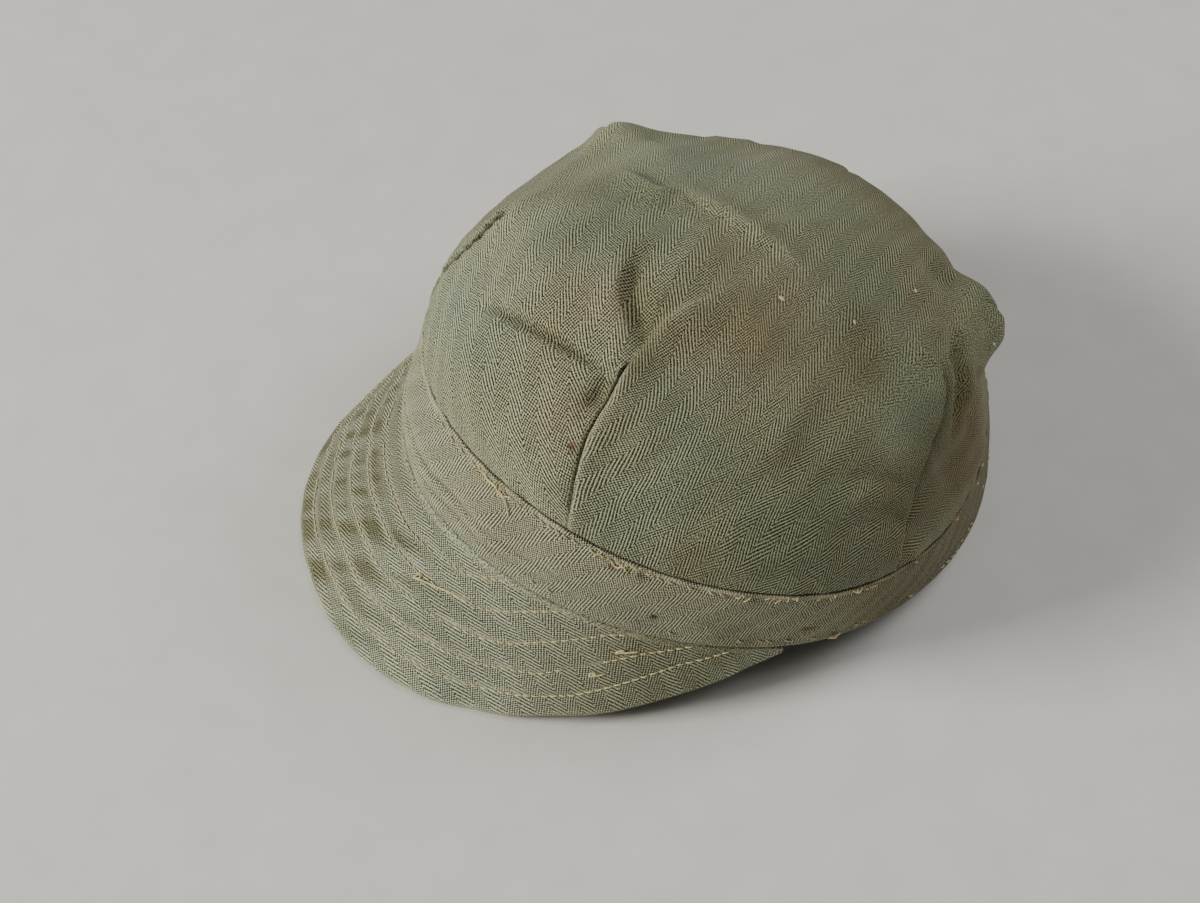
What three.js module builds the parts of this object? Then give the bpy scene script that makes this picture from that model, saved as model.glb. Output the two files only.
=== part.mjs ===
import * as THREE from 'three';

// Utility cap in herringbone cotton twill, lying by itself on a flat surface.
// Millimetres, +Z up, the visor points to -Y and the wearer's left side is +X.
// The back of the band and the front edge of the visor rest on Z = 0.

// Driving sizes
const planExponent = 1.85;
const seam = { halfWidth: 92.1, halfLength: 85.5, centreY: 3.8, height: 48.3, tilt: 17 };
const rim = { halfWidth: 85.8, halfLength: 92.7, frontLift: 35.8, restFlat: 1.2 };
const crown = { wall: 1.4, apexX: 1.3, apexY: 0.9, apexRise: 55.4, rings: 19 };
const band = { wall: 2.2, columns: 104 };
const visor = {
  halfWidth: 85.5,
  length: 112,
  centreY: -16.5,
  exponent: 2.21,
  edgeHeight: 1.5,
  endRise: 12,
  endFrom: 40,
  reach: 87,
  endAngle: 96,
  endDepth: 3.2,
  endOut: 0.9,
  tuck: 4.5,
  wall: 3,
  arch: 2.4,
  columns: 40,
  rows: 7,
};
const clearance = 0.3;

// Crown sections: azimuth from the front, how far in and how high the shoulder
// sits above the seam, how far the wall swells out below it, and how far the
// seam itself is drawn in there.
const sections = [
  { azimuth: 0, inset: 27.5, rise: 36.4, belly: 2.8, drawn: 0 },
  { azimuth: 38, inset: 33.5, rise: 37.8, belly: 3.2, drawn: 0 },
  { azimuth: 72, inset: 29.0, rise: 36.3, belly: 3.2, drawn: 0 },
  { azimuth: 105, inset: 23.2, rise: 35.1, belly: 2.6, drawn: 0 },
  { azimuth: 132, inset: 14.2, rise: 34.2, belly: 1.0, drawn: 1.6 },
  { azimuth: 160, inset: 5.8, rise: 34.4, belly: -0.5, drawn: 2.4 },
  { azimuth: 188, inset: 15.0, rise: 36.0, belly: 1.6, drawn: 0.8 },
  { azimuth: 216, inset: 18.9, rise: 37.4, belly: 3.6, drawn: 0 },
  { azimuth: 244, inset: 24.0, rise: 32.5, belly: 3.0, drawn: 0 },
  { azimuth: 272, inset: 20.9, rise: 31.4, belly: 1.9, drawn: 0 },
  { azimuth: 300, inset: 26.7, rise: 30.6, belly: 0.1, drawn: 0 },
  { azimuth: 327, inset: 25.2, rise: 33.5, belly: 0.9, drawn: 0 },
];

// Sewn darts: azimuth at the seam and at the tip, share of the section they
// climb, groove depth, and height and reach of the point that the tip pushes out.
const darts = [
  { foot: 39, tip: 40, climb: 0.51, groove: 1.5, point: 1.2, reach: 9 },
  { foot: 104, tip: 136, climb: 0.52, groove: 1.1, point: 1.2, reach: 11 },
  { foot: 157, tip: 161, climb: 0.5, groove: 1.1, point: 4.2, reach: 15 },
  { foot: 216, tip: 214, climb: 0.5, groove: 1.1, point: 0.9, reach: 13 },
  { foot: 273, tip: 279, climb: 0.51, groove: 1.1, point: 3.8, reach: 11 },
  { foot: 328, tip: 325, climb: 0.48, groove: 1.3, point: 1.6, reach: 10 },
];

// Folds and dents: height out of the cloth (negative is a valley), half-width,
// and the line they follow as pairs of azimuth and share of the section.
const folds = [
  { height: -5.0, width: 6.2, path: [[39, 0.54], [33, 0.61], [24, 0.68], [11, 0.73], [2, 0.76]] },
  { height: 2.4, width: 5.0, path: [[41, 0.47], [46, 0.62], [53, 0.7], [66, 0.79]] },
  { height: 2.0, width: 6.0, path: [[35, 0.53], [30, 0.58], [20, 0.64], [8, 0.68]] },
  { height: -2.6, width: 4.6, path: [[355, 0.37], [8, 0.43], [20, 0.455], [31, 0.46], [37, 0.47]] },
  { height: 2.0, width: 6.5, path: [[355, 0.43], [8, 0.49], [20, 0.52], [29, 0.53]] },
  { height: 1.6, width: 6.0, path: [[324, 0.49], [314, 0.52], [301, 0.5], [290, 0.48]] },
  { height: -3.0, width: 7.5, path: [[146, 0.57], [139, 0.48], [134, 0.4], [130, 0.32]] },
  { height: 1.6, width: 6.0, path: [[144, 0.62], [150, 0.56], [154, 0.48]] },
  { height: -1.6, width: 6.0, path: [[119, 0.2], [132, 0.24], [145, 0.27]] },
  { height: 1.3, width: 4.5, path: [[298, 0.78], [301, 0.83], [304, 0.88]] },
  { height: 1.4, width: 5.0, path: [[262, 0.9], [215, 0.93], [150, 0.91]] },
  { height: -1.0, width: 9.0, path: [[187, 0.3], [190, 0.42], [188, 0.55]] },
  { height: -0.8, width: 9.0, path: [[244, 0.28], [243, 0.36], [246, 0.42]] },
];

// Band profile: share of the height from rim to seam, and offset out of the face.
const bandProfile = [
  { share: 0, out: -0.2 },
  { share: 0.05, out: 0.35 },
  { share: 0.17, out: 0.35 },
  { share: 0.22, out: -0.05 },
  { share: 0.6, out: 0.6 },
  { share: 1, out: 0.2 },
];

const vec = (x, y, z) => new THREE.Vector3(x, y, z);
const radians = (degrees) => (degrees * Math.PI) / 180;
const smooth = (t) => {
  const c = Math.min(1, Math.max(0, t));
  return c * c * (3 - 2 * c);
};

// Point of a rounded outline with the given exponent, as (sideways, forward) shares.
function outline(azimuth, exponent) {
  const s = Math.sin(radians(azimuth));
  const c = Math.cos(radians(azimuth));
  const power = 2 / exponent;
  return [Math.sign(s) * Math.abs(s) ** power, Math.sign(c) * Math.abs(c) ** power];
}

// Smooth curve through knots with given slopes.
function hermite(knots, values, slopes, x) {
  let i = 0;
  while (i < knots.length - 2 && x >= knots[i + 1]) i += 1;
  const h = knots[i + 1] - knots[i];
  const t = (x - knots[i]) / h;
  const a = 2 * t ** 3 - 3 * t ** 2 + 1;
  const b = t ** 3 - 2 * t ** 2 + t;
  const c = 3 * t ** 2 - 2 * t ** 3;
  const d = t ** 3 - t ** 2;
  return a * values[i] + b * h * slopes[i] + c * values[i + 1] + d * h * slopes[i + 1];
}

// One column of the section table at any azimuth, going smoothly round.
function sectionValue(column, azimuth) {
  const n = sections.length;
  const at = (i) => sections[(i + n) % n];
  const knots = [];
  const values = [];
  for (let i = -2; i <= n + 1; i += 1) {
    knots.push(at(i).azimuth + 360 * Math.floor(i / n));
    values.push(at(i)[column]);
  }
  const slopes = values.map((v, i) => {
    const lo = Math.max(0, i - 1);
    const hi = Math.min(values.length - 1, i + 1);
    return (values[hi] - values[lo]) / (knots[hi] - knots[lo]);
  });
  return hermite(knots, values, slopes, ((azimuth % 360) + 360) % 360);
}

const seamPlaneZ = (y) => seam.height - (seam.tilt * (y - seam.centreY)) / seam.halfLength;
const rimPlaneZ = (y) => Math.max(0, (rim.frontLift * (1 - y / rim.halfLength)) / 2 - rim.restFlat);

function seamPoint(azimuth) {
  const [s, c] = outline(azimuth, planExponent);
  const flat = vec(seam.halfWidth * s, -seam.halfLength * c, 0);
  const drawn = flat.clone().setLength(sectionValue('drawn', azimuth));
  flat.sub(drawn);
  flat.y += seam.centreY;
  flat.z = seamPlaneZ(flat.y);
  return flat;
}

function rimPoint(azimuth, inset) {
  const [s, c] = outline(azimuth, planExponent);
  const flat = vec(rim.halfWidth * s, -rim.halfLength * c, 0);
  flat.setLength(flat.length() - inset);
  flat.z = rimPlaneZ(flat.y);
  return flat;
}

// The crown before darts and folds: share 0 is the seam, 0.5 the shoulder, 1 the top.
function crownBase(azimuth, share) {
  const foot = seamPoint(azimuth);
  const inset = sectionValue('inset', azimuth);
  const rise = sectionValue('rise', azimuth);
  const belly = sectionValue('belly', azimuth);
  const toward = vec(crown.apexX - foot.x, crown.apexY - foot.y, 0);
  const span = toward.length();
  toward.divideScalar(span);
  const slope = (seamPlaneZ(crown.apexY) - foot.z) / span;
  const knots = [0, 0.25, 0.5, 0.75, 1];
  const inward = [0, 0.42 * inset - belly, inset, inset + 0.5 * (span - inset), span];
  const up = [0, 0.55 * rise, rise, rise + 0.8 * (crown.apexRise - rise), crown.apexRise];
  const run = (v, first, last) => {
    const slopes = v.map((_, i) => (i > 0 && i < 4 ? (v[i + 1] - v[i - 1]) / 0.5 : 0));
    slopes[0] = first;
    slopes[4] = last;
    return hermite(knots, v, slopes, share);
  };
  const w = run(inward, 1.2 * inset - 6 * belly, 2 * (span - inset));
  const v = run(up, 2.4 * rise, 0);
  return vec(foot.x + toward.x * w, foot.y + toward.y * w, foot.z + slope * w + v);
}

function crownNormal(azimuth, share) {
  const s = Math.min(share, 0.985);
  const across = crownBase(azimuth + 0.5, s).sub(crownBase(azimuth - 0.5, s));
  const along = crownBase(azimuth, s + 0.005).sub(crownBase(azimuth, Math.max(0, s - 0.005)));
  return across.cross(along).normalize();
}

// Distance from a point to a line of points, and how far along it the nearest spot is.
function nearest(point, line) {
  let best = { distance: Infinity, along: 0 };
  for (let i = 0; i + 1 < line.length; i += 1) {
    const step = line[i + 1].clone().sub(line[i]);
    const t = Math.min(1, Math.max(0, point.clone().sub(line[i]).dot(step) / step.lengthSq()));
    const distance = point.distanceTo(line[i].clone().addScaledVector(step, t));
    if (distance < best.distance) best = { distance, along: (i + t) / (line.length - 1) };
  }
  return best;
}

const dartAzimuth = (dart, share) => dart.foot + (dart.tip - dart.foot) * Math.min(1, share / dart.climb);
const dartLines = darts.map((dart) => {
  const line = [];
  for (let i = 0; i <= 10; i += 1) {
    const share = (dart.climb * i) / 10;
    line.push(crownBase(dartAzimuth(dart, share), share));
  }
  return line;
});
const foldLines = folds.map((fold) => fold.path.map(([azimuth, share]) => crownBase(azimuth, share)));

// How far the cloth stands out of the base form: grooves, pushed-out tips, folds.
function relief(point) {
  let out = 0;
  darts.forEach((dart, i) => {
    const { distance, along } = nearest(point, dartLines[i]);
    out -= dart.groove * Math.max(0, 1 - distance / 2.8) * (0.6 + 0.4 * along);
    const tip = point.distanceTo(dartLines[i][10]);
    out += dart.point * Math.exp(-((tip / dart.reach) ** 2));
  });
  folds.forEach((fold, i) => {
    const { distance, along } = nearest(point, foldLines[i]);
    const fade = smooth(along / 0.25) * smooth((1 - along) / 0.25);
    out += fold.height * Math.exp(-((distance / fold.width) ** 2)) * (0.35 + 0.65 * fade);
  });
  return out;
}

function crownPoint(azimuth, share) {
  const base = crownBase(azimuth, share);
  return base.clone().addScaledVector(crownNormal(azimuth, share), relief(base) * smooth(share / 0.1));
}

// Turns lists of corners into a mesh with flat, outward-facing triangles.
function makeMesh(name, points, faces, material) {
  const geometry = new THREE.BufferGeometry();
  geometry.setAttribute('position', new THREE.Float32BufferAttribute(points.flatMap((p) => [p.x, p.y, p.z]), 3));
  geometry.setIndex(faces.flat());
  geometry.computeVertexNormals();
  const mesh = new THREE.Mesh(geometry, material);
  mesh.name = name;
  return mesh;
}

const quad = (faces, a, b, c, d) => faces.push([a, b, c], [a, c, d]);

// Crown: columns run along the darts and are closer together beside them.
const panelSteps = [0, 0.03, 0.09, 0.16, 0.24, 0.32, 0.4, 0.47, 0.53, 0.6, 0.68, 0.76, 0.84, 0.91, 0.97];

function crownColumns(share) {
  const at = darts.map((dart) => dartAzimuth(dart, share));
  return at.flatMap((from, i) => {
    const to = i + 1 < at.length ? at[i + 1] : at[0] + 360;
    return panelSteps.map((step) => from + (to - from) * step);
  });
}

function buildCrown(material) {
  const columns = darts.length * panelSteps.length;
  const outer = [];
  for (let r = 0; r < crown.rings; r += 1) {
    const share = 0.97 * (r / (crown.rings - 1)) ** 1.05;
    crownColumns(share).forEach((azimuth) => outer.push(crownPoint(azimuth, share)));
  }
  const top = crownPoint(0, 1);
  const at = (r, c) => r * columns + ((c + columns) % columns);
  const inner = [];
  for (let r = 0; r < crown.rings; r += 1) {
    for (let c = 0; c < columns; c += 1) {
      const p = outer[at(r, c)];
      const across = outer[at(r, c + 1)].clone().sub(outer[at(r, c - 1)]);
      const above = r + 1 < crown.rings ? outer[at(r + 1, c)] : top;
      const along = above.clone().sub(outer[at(Math.max(0, r - 1), c)]);
      const inward = along.cross(across).normalize();
      if (r === 0) {
        inward.set(-p.x, seam.centreY - p.y, 0).normalize();
        inward.z = (-inward.y * seam.tilt) / seam.halfLength;
      }
      inner.push(p.clone().addScaledVector(inward, crown.wall));
    }
  }
  const count = outer.length;
  const points = [...outer, ...inner, top, top.clone().setZ(top.z - crown.wall)];
  const faces = [];
  for (let c = 0; c < columns; c += 1) {
    for (let r = 0; r + 1 < crown.rings; r += 1) {
      quad(faces, at(r, c), at(r, c + 1), at(r + 1, c + 1), at(r + 1, c));
      quad(faces, count + at(r, c + 1), count + at(r, c), count + at(r + 1, c), count + at(r + 1, c + 1));
    }
    const last = crown.rings - 1;
    faces.push([at(last, c), at(last, c + 1), 2 * count]);
    faces.push([count + at(last, c + 1), count + at(last, c), 2 * count + 1]);
    quad(faces, at(0, c + 1), at(0, c), count + at(0, c), count + at(0, c + 1));
  }
  return makeMesh('crown', points, faces, material);
}

// Band: a closed loop of cloth from the rim up to just under the crown's seam.
function buildBand(material) {
  const points = [];
  const rows = 2 * bandProfile.length;
  for (let c = 0; c < band.columns; c += 1) {
    const azimuth = (360 * c) / band.columns;
    const low = rimPoint(azimuth, 0);
    const high = seamPoint(azimuth);
    const height = high.clone().sub(low).normalize();
    high.addScaledVector(height, -clearance);
    const out = vec(low.x, low.y, 0).normalize();
    const outward = [];
    const inward = [];
    bandProfile.forEach(({ share, out: offset }) => {
      const p = low.clone().lerp(high, share).addScaledVector(out, offset);
      const q = low.clone().lerp(high, share).addScaledVector(out, -band.wall);
      const plane = share === 0 ? rimPlaneZ : (y) => seamPlaneZ(y) - clearance;
      if (share === 0 || share === 1) {
        p.z = plane(p.y);
        q.z = plane(q.y);
      }
      outward.push(p);
      inward.unshift(q);
    });
    points.push(...outward, ...inward);
  }
  const at = (c, r) => (c % band.columns) * rows + (r % rows);
  const faces = [];
  for (let c = 0; c < band.columns; c += 1) {
    for (let r = 0; r < rows; r += 1) {
      quad(faces, at(c, r), at(c + 1, r), at(c + 1, r + 1), at(c, r + 1));
    }
  }
  return makeMesh('band', points, faces, material);
}

// Outer edge of the visor: on the surface at the front, rising to its ends.
function visorEdge(azimuth) {
  const angle = (azimuth * visor.endAngle) / visor.reach;
  const [s, c] = outline(angle, visor.exponent);
  const rising = Math.max(0, (Math.abs(angle) - visor.endFrom) / (90 - visor.endFrom));
  const y = visor.centreY - visor.length * c;
  const z = visor.edgeHeight + visor.endRise * rising ** 2;
  const beside = Math.abs(rimPoint(azimuth, 0).x) + visor.endOut;
  const x = Math.sign(s) * Math.max(visor.halfWidth * Math.abs(s), Math.abs(azimuth) > 60 ? beside : 0);
  return vec(x, y, Math.min(z, rimPlaneZ(y) - visor.endDepth));
}

// Top face of the visor, from its tucked margin (row 0) to its edge (last row).
function visorPoint(azimuth, row) {
  const drop = clearance / Math.cos(Math.atan2(rim.frontLift, 2 * rim.halfLength));
  const root = rimPoint(azimuth, row === 0 ? visor.tuck : -0.4);
  root.z -= drop;
  if (row === 0) return root;
  const share = (row - 1) / (visor.rows - 1);
  const edge = visorEdge(azimuth);
  const lift = vec(0, 0, visor.arch * 4 * share * (1 - share) * Math.cos(radians(azimuth)));
  return root.lerp(edge, share).add(lift);
}

function buildVisor(material) {
  const top = [];
  for (let c = 0; c <= visor.columns; c += 1) {
    const azimuth = visor.reach * ((2 * c) / visor.columns - 1);
    for (let r = 0; r <= visor.rows; r += 1) top.push(visorPoint(azimuth, r));
  }
  const width = visor.rows + 1;
  const at = (c, r) => c * width + r;
  const under = [];
  for (let c = 0; c <= visor.columns; c += 1) {
    for (let r = 0; r < width; r += 1) {
      const before = top[at(Math.max(0, c - 1), r)];
      const after = top[at(Math.min(visor.columns, c + 1), r)];
      const inside = top[at(c, Math.max(0, r - 1))];
      const outside = top[at(c, Math.min(visor.rows, r + 1))];
      const down = after.clone().sub(before).cross(outside.clone().sub(inside)).normalize();
      const p = top[at(c, r)].clone().addScaledVector(down, visor.wall);
      p.z = Math.max(0, Math.min(p.z, top[at(c, r)].z));
      under.push(p);
    }
  }
  const count = top.length;
  const points = [...top, ...under];
  const faces = [];
  for (let c = 0; c < visor.columns; c += 1) {
    for (let r = 0; r < visor.rows; r += 1) {
      quad(faces, at(c, r), at(c, r + 1), at(c + 1, r + 1), at(c + 1, r));
      quad(faces, count + at(c, r), count + at(c + 1, r), count + at(c + 1, r + 1), count + at(c, r + 1));
    }
    const r = visor.rows;
    quad(faces, at(c, 0), at(c + 1, 0), count + at(c + 1, 0), count + at(c, 0));
    quad(faces, at(c + 1, r), at(c, r), count + at(c, r), count + at(c + 1, r));
  }
  for (let r = 0; r < visor.rows; r += 1) {
    const c = visor.columns;
    quad(faces, at(0, r + 1), at(0, r), count + at(0, r), count + at(0, r + 1));
    quad(faces, at(c, r), at(c, r + 1), count + at(c, r + 1), count + at(c, r));
  }
  return makeMesh('visor', points, faces, material);
}

const crownCloth = new THREE.MeshStandardMaterial({ color: 0x77775f, roughness: 0.95 });
const bandCloth = new THREE.MeshStandardMaterial({ color: 0x7c7a62, roughness: 0.95 });
const visorCloth = new THREE.MeshStandardMaterial({ color: 0x7d7d68, roughness: 0.95 });

const cap = new THREE.Group();
cap.name = 'utility_cap';
cap.add(buildCrown(crownCloth), buildBand(bandCloth), buildVisor(visorCloth));

// The frame's origin is under the middle of the whole cap.
const box = new THREE.Box3().setFromObject(cap);
const shift = vec(-(box.min.x + box.max.x) / 2, -(box.min.y + box.max.y) / 2, -box.min.z);
cap.children.forEach((mesh) => mesh.geometry.translate(shift.x, shift.y, shift.z));

export default cap;
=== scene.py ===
import math
import bpy
import numpy as np
from mathutils import Matrix, Vector


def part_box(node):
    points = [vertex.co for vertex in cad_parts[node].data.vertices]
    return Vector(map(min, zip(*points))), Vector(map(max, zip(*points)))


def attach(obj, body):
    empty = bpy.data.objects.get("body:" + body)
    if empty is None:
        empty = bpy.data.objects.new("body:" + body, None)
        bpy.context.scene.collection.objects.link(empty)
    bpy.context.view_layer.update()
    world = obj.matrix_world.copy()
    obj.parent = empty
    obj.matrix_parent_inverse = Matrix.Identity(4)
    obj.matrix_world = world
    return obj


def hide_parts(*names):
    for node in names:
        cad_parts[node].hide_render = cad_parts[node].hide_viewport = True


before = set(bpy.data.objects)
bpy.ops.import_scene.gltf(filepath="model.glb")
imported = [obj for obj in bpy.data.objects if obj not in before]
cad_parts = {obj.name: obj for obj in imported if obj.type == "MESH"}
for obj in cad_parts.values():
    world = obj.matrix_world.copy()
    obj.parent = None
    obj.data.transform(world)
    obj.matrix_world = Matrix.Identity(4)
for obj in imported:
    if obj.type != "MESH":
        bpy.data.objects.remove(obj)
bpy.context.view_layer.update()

print("frame loaded:", sorted(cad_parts))

# One cap of faded herringbone twill on a pale floor. Sizes are in millimetres unless a note says metres.
# Azimuth runs in degrees from the front (visor) towards the wearer's left, share runs up a section.
mm = 0.001
capForm = {
    "planExponent": 1.85,
    "seam": {"halfWidth": 92.1, "halfLength": 85.5, "centreY": 3.8, "height": 48.3, "tilt": 17.0},
    "rim": {"halfWidth": 85.8, "halfLength": 92.7, "frontLift": 35.8, "restFlat": 1.2, "bandOut": 0.35},
    "apex": (1.3, 0.9, 55.4),
    "topShare": 0.985,  # the rings end here, and a fan closes the top
    "frontPuff": {"out": 1.7, "azimuth": -12, "wide": 24},
}
seam, rim = capForm["seam"], capForm["rim"]

# where the solids stand in the shared frame, read from their boxes
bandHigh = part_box("band")[1]
visorLow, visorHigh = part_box("visor")
middleX = (visorLow[0] + visorHigh[0]) / (2 * mm)
capShift = np.array([middleX, bandHigh[1] / mm - rim["halfLength"] - rim["bandOut"], 0.0])

# columns: azimuth, inset and rise of the shoulder, belly of the wall, how far the seam is drawn in
crownSections = np.array([
    (0, 27.5, 36.4, 2.8, 0.0),
    (38, 33.5, 37.8, 3.2, 0.0),
    (72, 29.0, 36.3, 3.2, 0.0),
    (105, 23.2, 35.1, 2.6, 0.0),
    (132, 14.2, 34.2, 1.0, 1.6),
    (160, 5.8, 34.4, -0.5, 2.4),
    (188, 15.0, 36.0, 1.6, 0.8),
    (216, 18.9, 37.4, 3.6, 0.0),
    (244, 24.0, 32.5, 3.0, 0.0),
    (272, 20.9, 31.4, 1.9, 0.0),
    (300, 26.7, 30.6, 0.1, 0.0),
    (327, 25.2, 33.5, 0.9, 0.0),
])
# shares of inset and rise at the knots between seam, shoulder and top, and the slopes at both ends
sectionCurve = {
    "knots": np.array([0, 0.25, 0.5, 0.75, 1.0]), "knotPair": 0.5,
    "lowIn": 0.42, "lowUp": 0.55, "highIn": 0.5, "highUp": 0.8,
    "footIn": 1.2, "footBelly": 6.0, "footUp": 2.4, "topIn": 2.0,
}


def smooth(t):
    t = np.clip(t, 0.0, 1.0)
    return t * t * (3 - 2 * t)


def bell(offset, width):
    return np.exp(-((offset / width) ** 2))


def nearSpot(points, spot, size):
    return bell(np.linalg.norm(points - spot, axis=-1), size)


def fromAzimuth(azimuth, centre):
    return np.mod(azimuth - centre + 180, 360) - 180


def unit(v):
    return v / np.maximum(np.linalg.norm(v, axis=-1, keepdims=True), 1e-9)


def pathLength(points):
    return np.concatenate([[0], np.cumsum(np.linalg.norm(np.diff(points, axis=0), axis=1))])


def outline(azimuth, exponent):
    s, c = np.sin(np.radians(azimuth)), np.cos(np.radians(azimuth))
    power = 2 / exponent
    return np.sign(s) * np.abs(s) ** power, np.sign(c) * np.abs(c) ** power


def hermite(knots, values, slopes, x):
    i = np.clip(np.searchsorted(knots, x, side="right") - 1, 0, len(knots) - 2)
    h = knots[i + 1] - knots[i]
    t = (x - knots[i]) / h

    def at(rows, j):
        return rows[j] if rows.ndim == 1 else np.take_along_axis(rows, j[None], 0)[0]

    start = (2 * t**3 - 3 * t**2 + 1) * at(values, i) + (t**3 - 2 * t**2 + t) * h * at(slopes, i)
    return start + (3 * t**2 - 2 * t**3) * at(values, i + 1) + (t**3 - t**2) * h * at(slopes, i + 1)


def sectionValue(column, azimuth):
    az, val = crownSections[:, 0], crownSections[:, column]
    knots = np.concatenate([az[-2:] - 360, az, az[:2] + 360])
    values = np.concatenate([val[-2:], val, val[:2]])
    slopes = np.zeros_like(values)
    slopes[1:-1] = (values[2:] - values[:-2]) / (knots[2:] - knots[:-2])
    return hermite(knots, values, slopes, np.mod(azimuth, 360.0))


def seamPlaneZ(y):
    return seam["height"] - seam["tilt"] * (y - seam["centreY"]) / seam["halfLength"]


def rimPlaneZ(y):
    return np.maximum(0.0, rim["frontLift"] * (1 - y / rim["halfLength"]) / 2 - rim["restFlat"])


def seamPoint(azimuth):
    s, c = outline(azimuth, capForm["planExponent"])
    x, y = seam["halfWidth"] * s, -seam["halfLength"] * c
    keep = 1 - sectionValue(4, azimuth) / np.hypot(x, y)
    y = y * keep + seam["centreY"]
    return np.stack([x * keep, y, seamPlaneZ(y)], -1)


def rimPoint(azimuth, inset=0.0):
    s, c = outline(azimuth, capForm["planExponent"])
    x, y = rim["halfWidth"] * s, -rim["halfLength"] * c
    keep = 1 - inset / np.hypot(x, y)
    return np.stack([x * keep, y * keep, rimPlaneZ(y * keep)], -1)


def frontPuff(azimuth):
    # the seam stands out a little over the far side of the forehead
    puff = capForm["frontPuff"]
    return puff["out"] * bell(fromAzimuth(azimuth, puff["azimuth"]), puff["wide"])


def crownBase(azimuth, share):
    azimuth, share = np.broadcast_arrays(np.asarray(azimuth, float), np.asarray(share, float))
    shape = azimuth.shape
    azimuth, share = azimuth.ravel(), share.ravel()
    curve = sectionCurve
    foot = seamPoint(azimuth)
    inset, rise, belly = (sectionValue(k, azimuth) for k in (1, 2, 3))
    apexX, apexY, top = capForm["apex"]
    toX, toY = apexX - foot[:, 0], apexY - foot[:, 1]
    span = np.hypot(toX, toY)
    slope = (seamPlaneZ(apexY) - foot[:, 2]) / span
    zero = np.zeros_like(span)
    highIn, highUp = inset + curve["highIn"] * (span - inset), rise + curve["highUp"] * (top - rise)
    inward = np.stack([zero, curve["lowIn"] * inset - belly, inset, highIn, span])
    up = np.stack([zero, curve["lowUp"] * rise, rise, highUp, zero + top])

    def run(values, first, last):
        slopes = np.zeros_like(values)
        slopes[1:-1] = (values[2:] - values[:-2]) / curve["knotPair"]
        slopes[0], slopes[-1] = first, last
        return hermite(curve["knots"], values, slopes, share)

    footSlope = curve["footIn"] * inset - curve["footBelly"] * belly
    w = run(inward, footSlope, curve["topIn"] * (span - inset))
    v = run(up, curve["footUp"] * rise, zero)
    place = [foot[:, 0] + toX / span * w, foot[:, 1] + toY / span * w, foot[:, 2] + slope * w + v]
    return np.stack(place, -1).reshape(shape + (3,))


def crownNormal(azimuth, share, turn=0.5, climb=0.005):
    s = np.minimum(share, capForm["topShare"])
    across = crownBase(azimuth + turn, s) - crownBase(azimuth - turn, s)
    along = crownBase(azimuth, s + climb) - crownBase(azimuth, np.maximum(0, s - climb))
    return unit(np.cross(across, along))


def ripple(points, wavelength, seed, count=7):
    # smooth, repeatable unevenness: a few crossed waves about one wavelength long
    rng = np.random.default_rng(seed)
    out = np.zeros(points.shape[:-1])
    for _ in range(count):
        direction = unit(rng.normal(size=3))
        k = direction * 2 * math.pi / (wavelength * rng.uniform(0.7, 1.4))
        out += np.sin(points @ k + rng.uniform(0, 2 * math.pi))
    return out / math.sqrt(count)


def nearLine(points, line, normals):
    # distance, signed side (towards growing azimuth) and share along a line of points
    best = np.full(points.shape[0], 1e9)
    side, along = np.zeros_like(best), np.zeros_like(best)
    for i in range(len(line) - 1):
        step = line[i + 1] - line[i]
        rel = points - line[i]
        t = np.clip(rel @ step / (step @ step), 0, 1)
        off = rel - t[:, None] * step
        d = np.linalg.norm(off, axis=1)
        across = unit(np.cross(step, normals[i]))
        hit = d < best
        best = np.where(hit, d, best)
        side = np.where(hit, off @ across, side)
        along = np.where(hit, (i + t) / (len(line) - 1), along)
    return best, side, along


def flatPolar(radius, degrees):
    angle = np.radians(degrees)
    return np.stack([radius * np.sin(angle), -radius * np.cos(angle)], -1)


def turnFlat(flat, degrees):
    c, s = np.cos(np.radians(degrees)), np.sin(np.radians(degrees))
    x, y = flat[..., 0], flat[..., 1]
    return np.stack([x * c - y * s, x * s + y * c], -1)


# the crown: one piece of cloth drawn in by six darts
crownCloth = {
    "wall": 1.3,
    "panelColumns": 72,
    "gather": 0.72,  # how far the columns gather towards the darts, where the cloth is sharpest
    "rings": 169, "ringSpread": 1.12,
    "lowerRoll": 0.8, "rollShare": 0.012, "seamShare": 0.009, "seamShade": 0.9,
    "seamPucker": 0.35, "puckerFade": 0.07, "puckerTurns": (34, 47, 61, 79),
    "uneven": [(0.45, 38, 11), (0.3, 21, 13), (0.18, 12, 12)],  # height, wavelength, seed
    "puffFade": 0.3, "insideShade": 0.25, "apexLift": 0.3,
}
# columns: azimuth at the foot and tip, climb, bend and bow of the line, groove depth, point height and
# reach, lip side and height, width of the open end, half-width of the slit, shadow on the low side
crownDarts = np.array([
    (39.2, 40, 0.54, 1.0, -1.6, 0.6, 1.0, 8, 1, 1.3, 0.35, 0.42, 0.25),
    (105, 137, 0.53, 2.0, 0.0, 0.8, 1.0, 10, -1, 2.9, 0.2, 0.6, 0.95),
    (157, 161, 0.50, 1.0, 0.0, 1.0, 4.0, 12, -1, 0.9, 0.1, 0.36, 0.2),
    (216, 214, 0.46, 1.0, 0.0, 0.6, 0.0, 13, 1, 0.5, 0.1, 0.34, 0.15),
    (273, 279, 0.51, 1.0, 0.0, 0.6, 4.6, 9.5, 1, 0.5, 0.1, 0.36, 0.2),
    (333, 325, 0.48, 1.0, 0.0, 0.8, 1.6, 10, -1, 1.6, 0.2, 1.05, 0.5),
])
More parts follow.
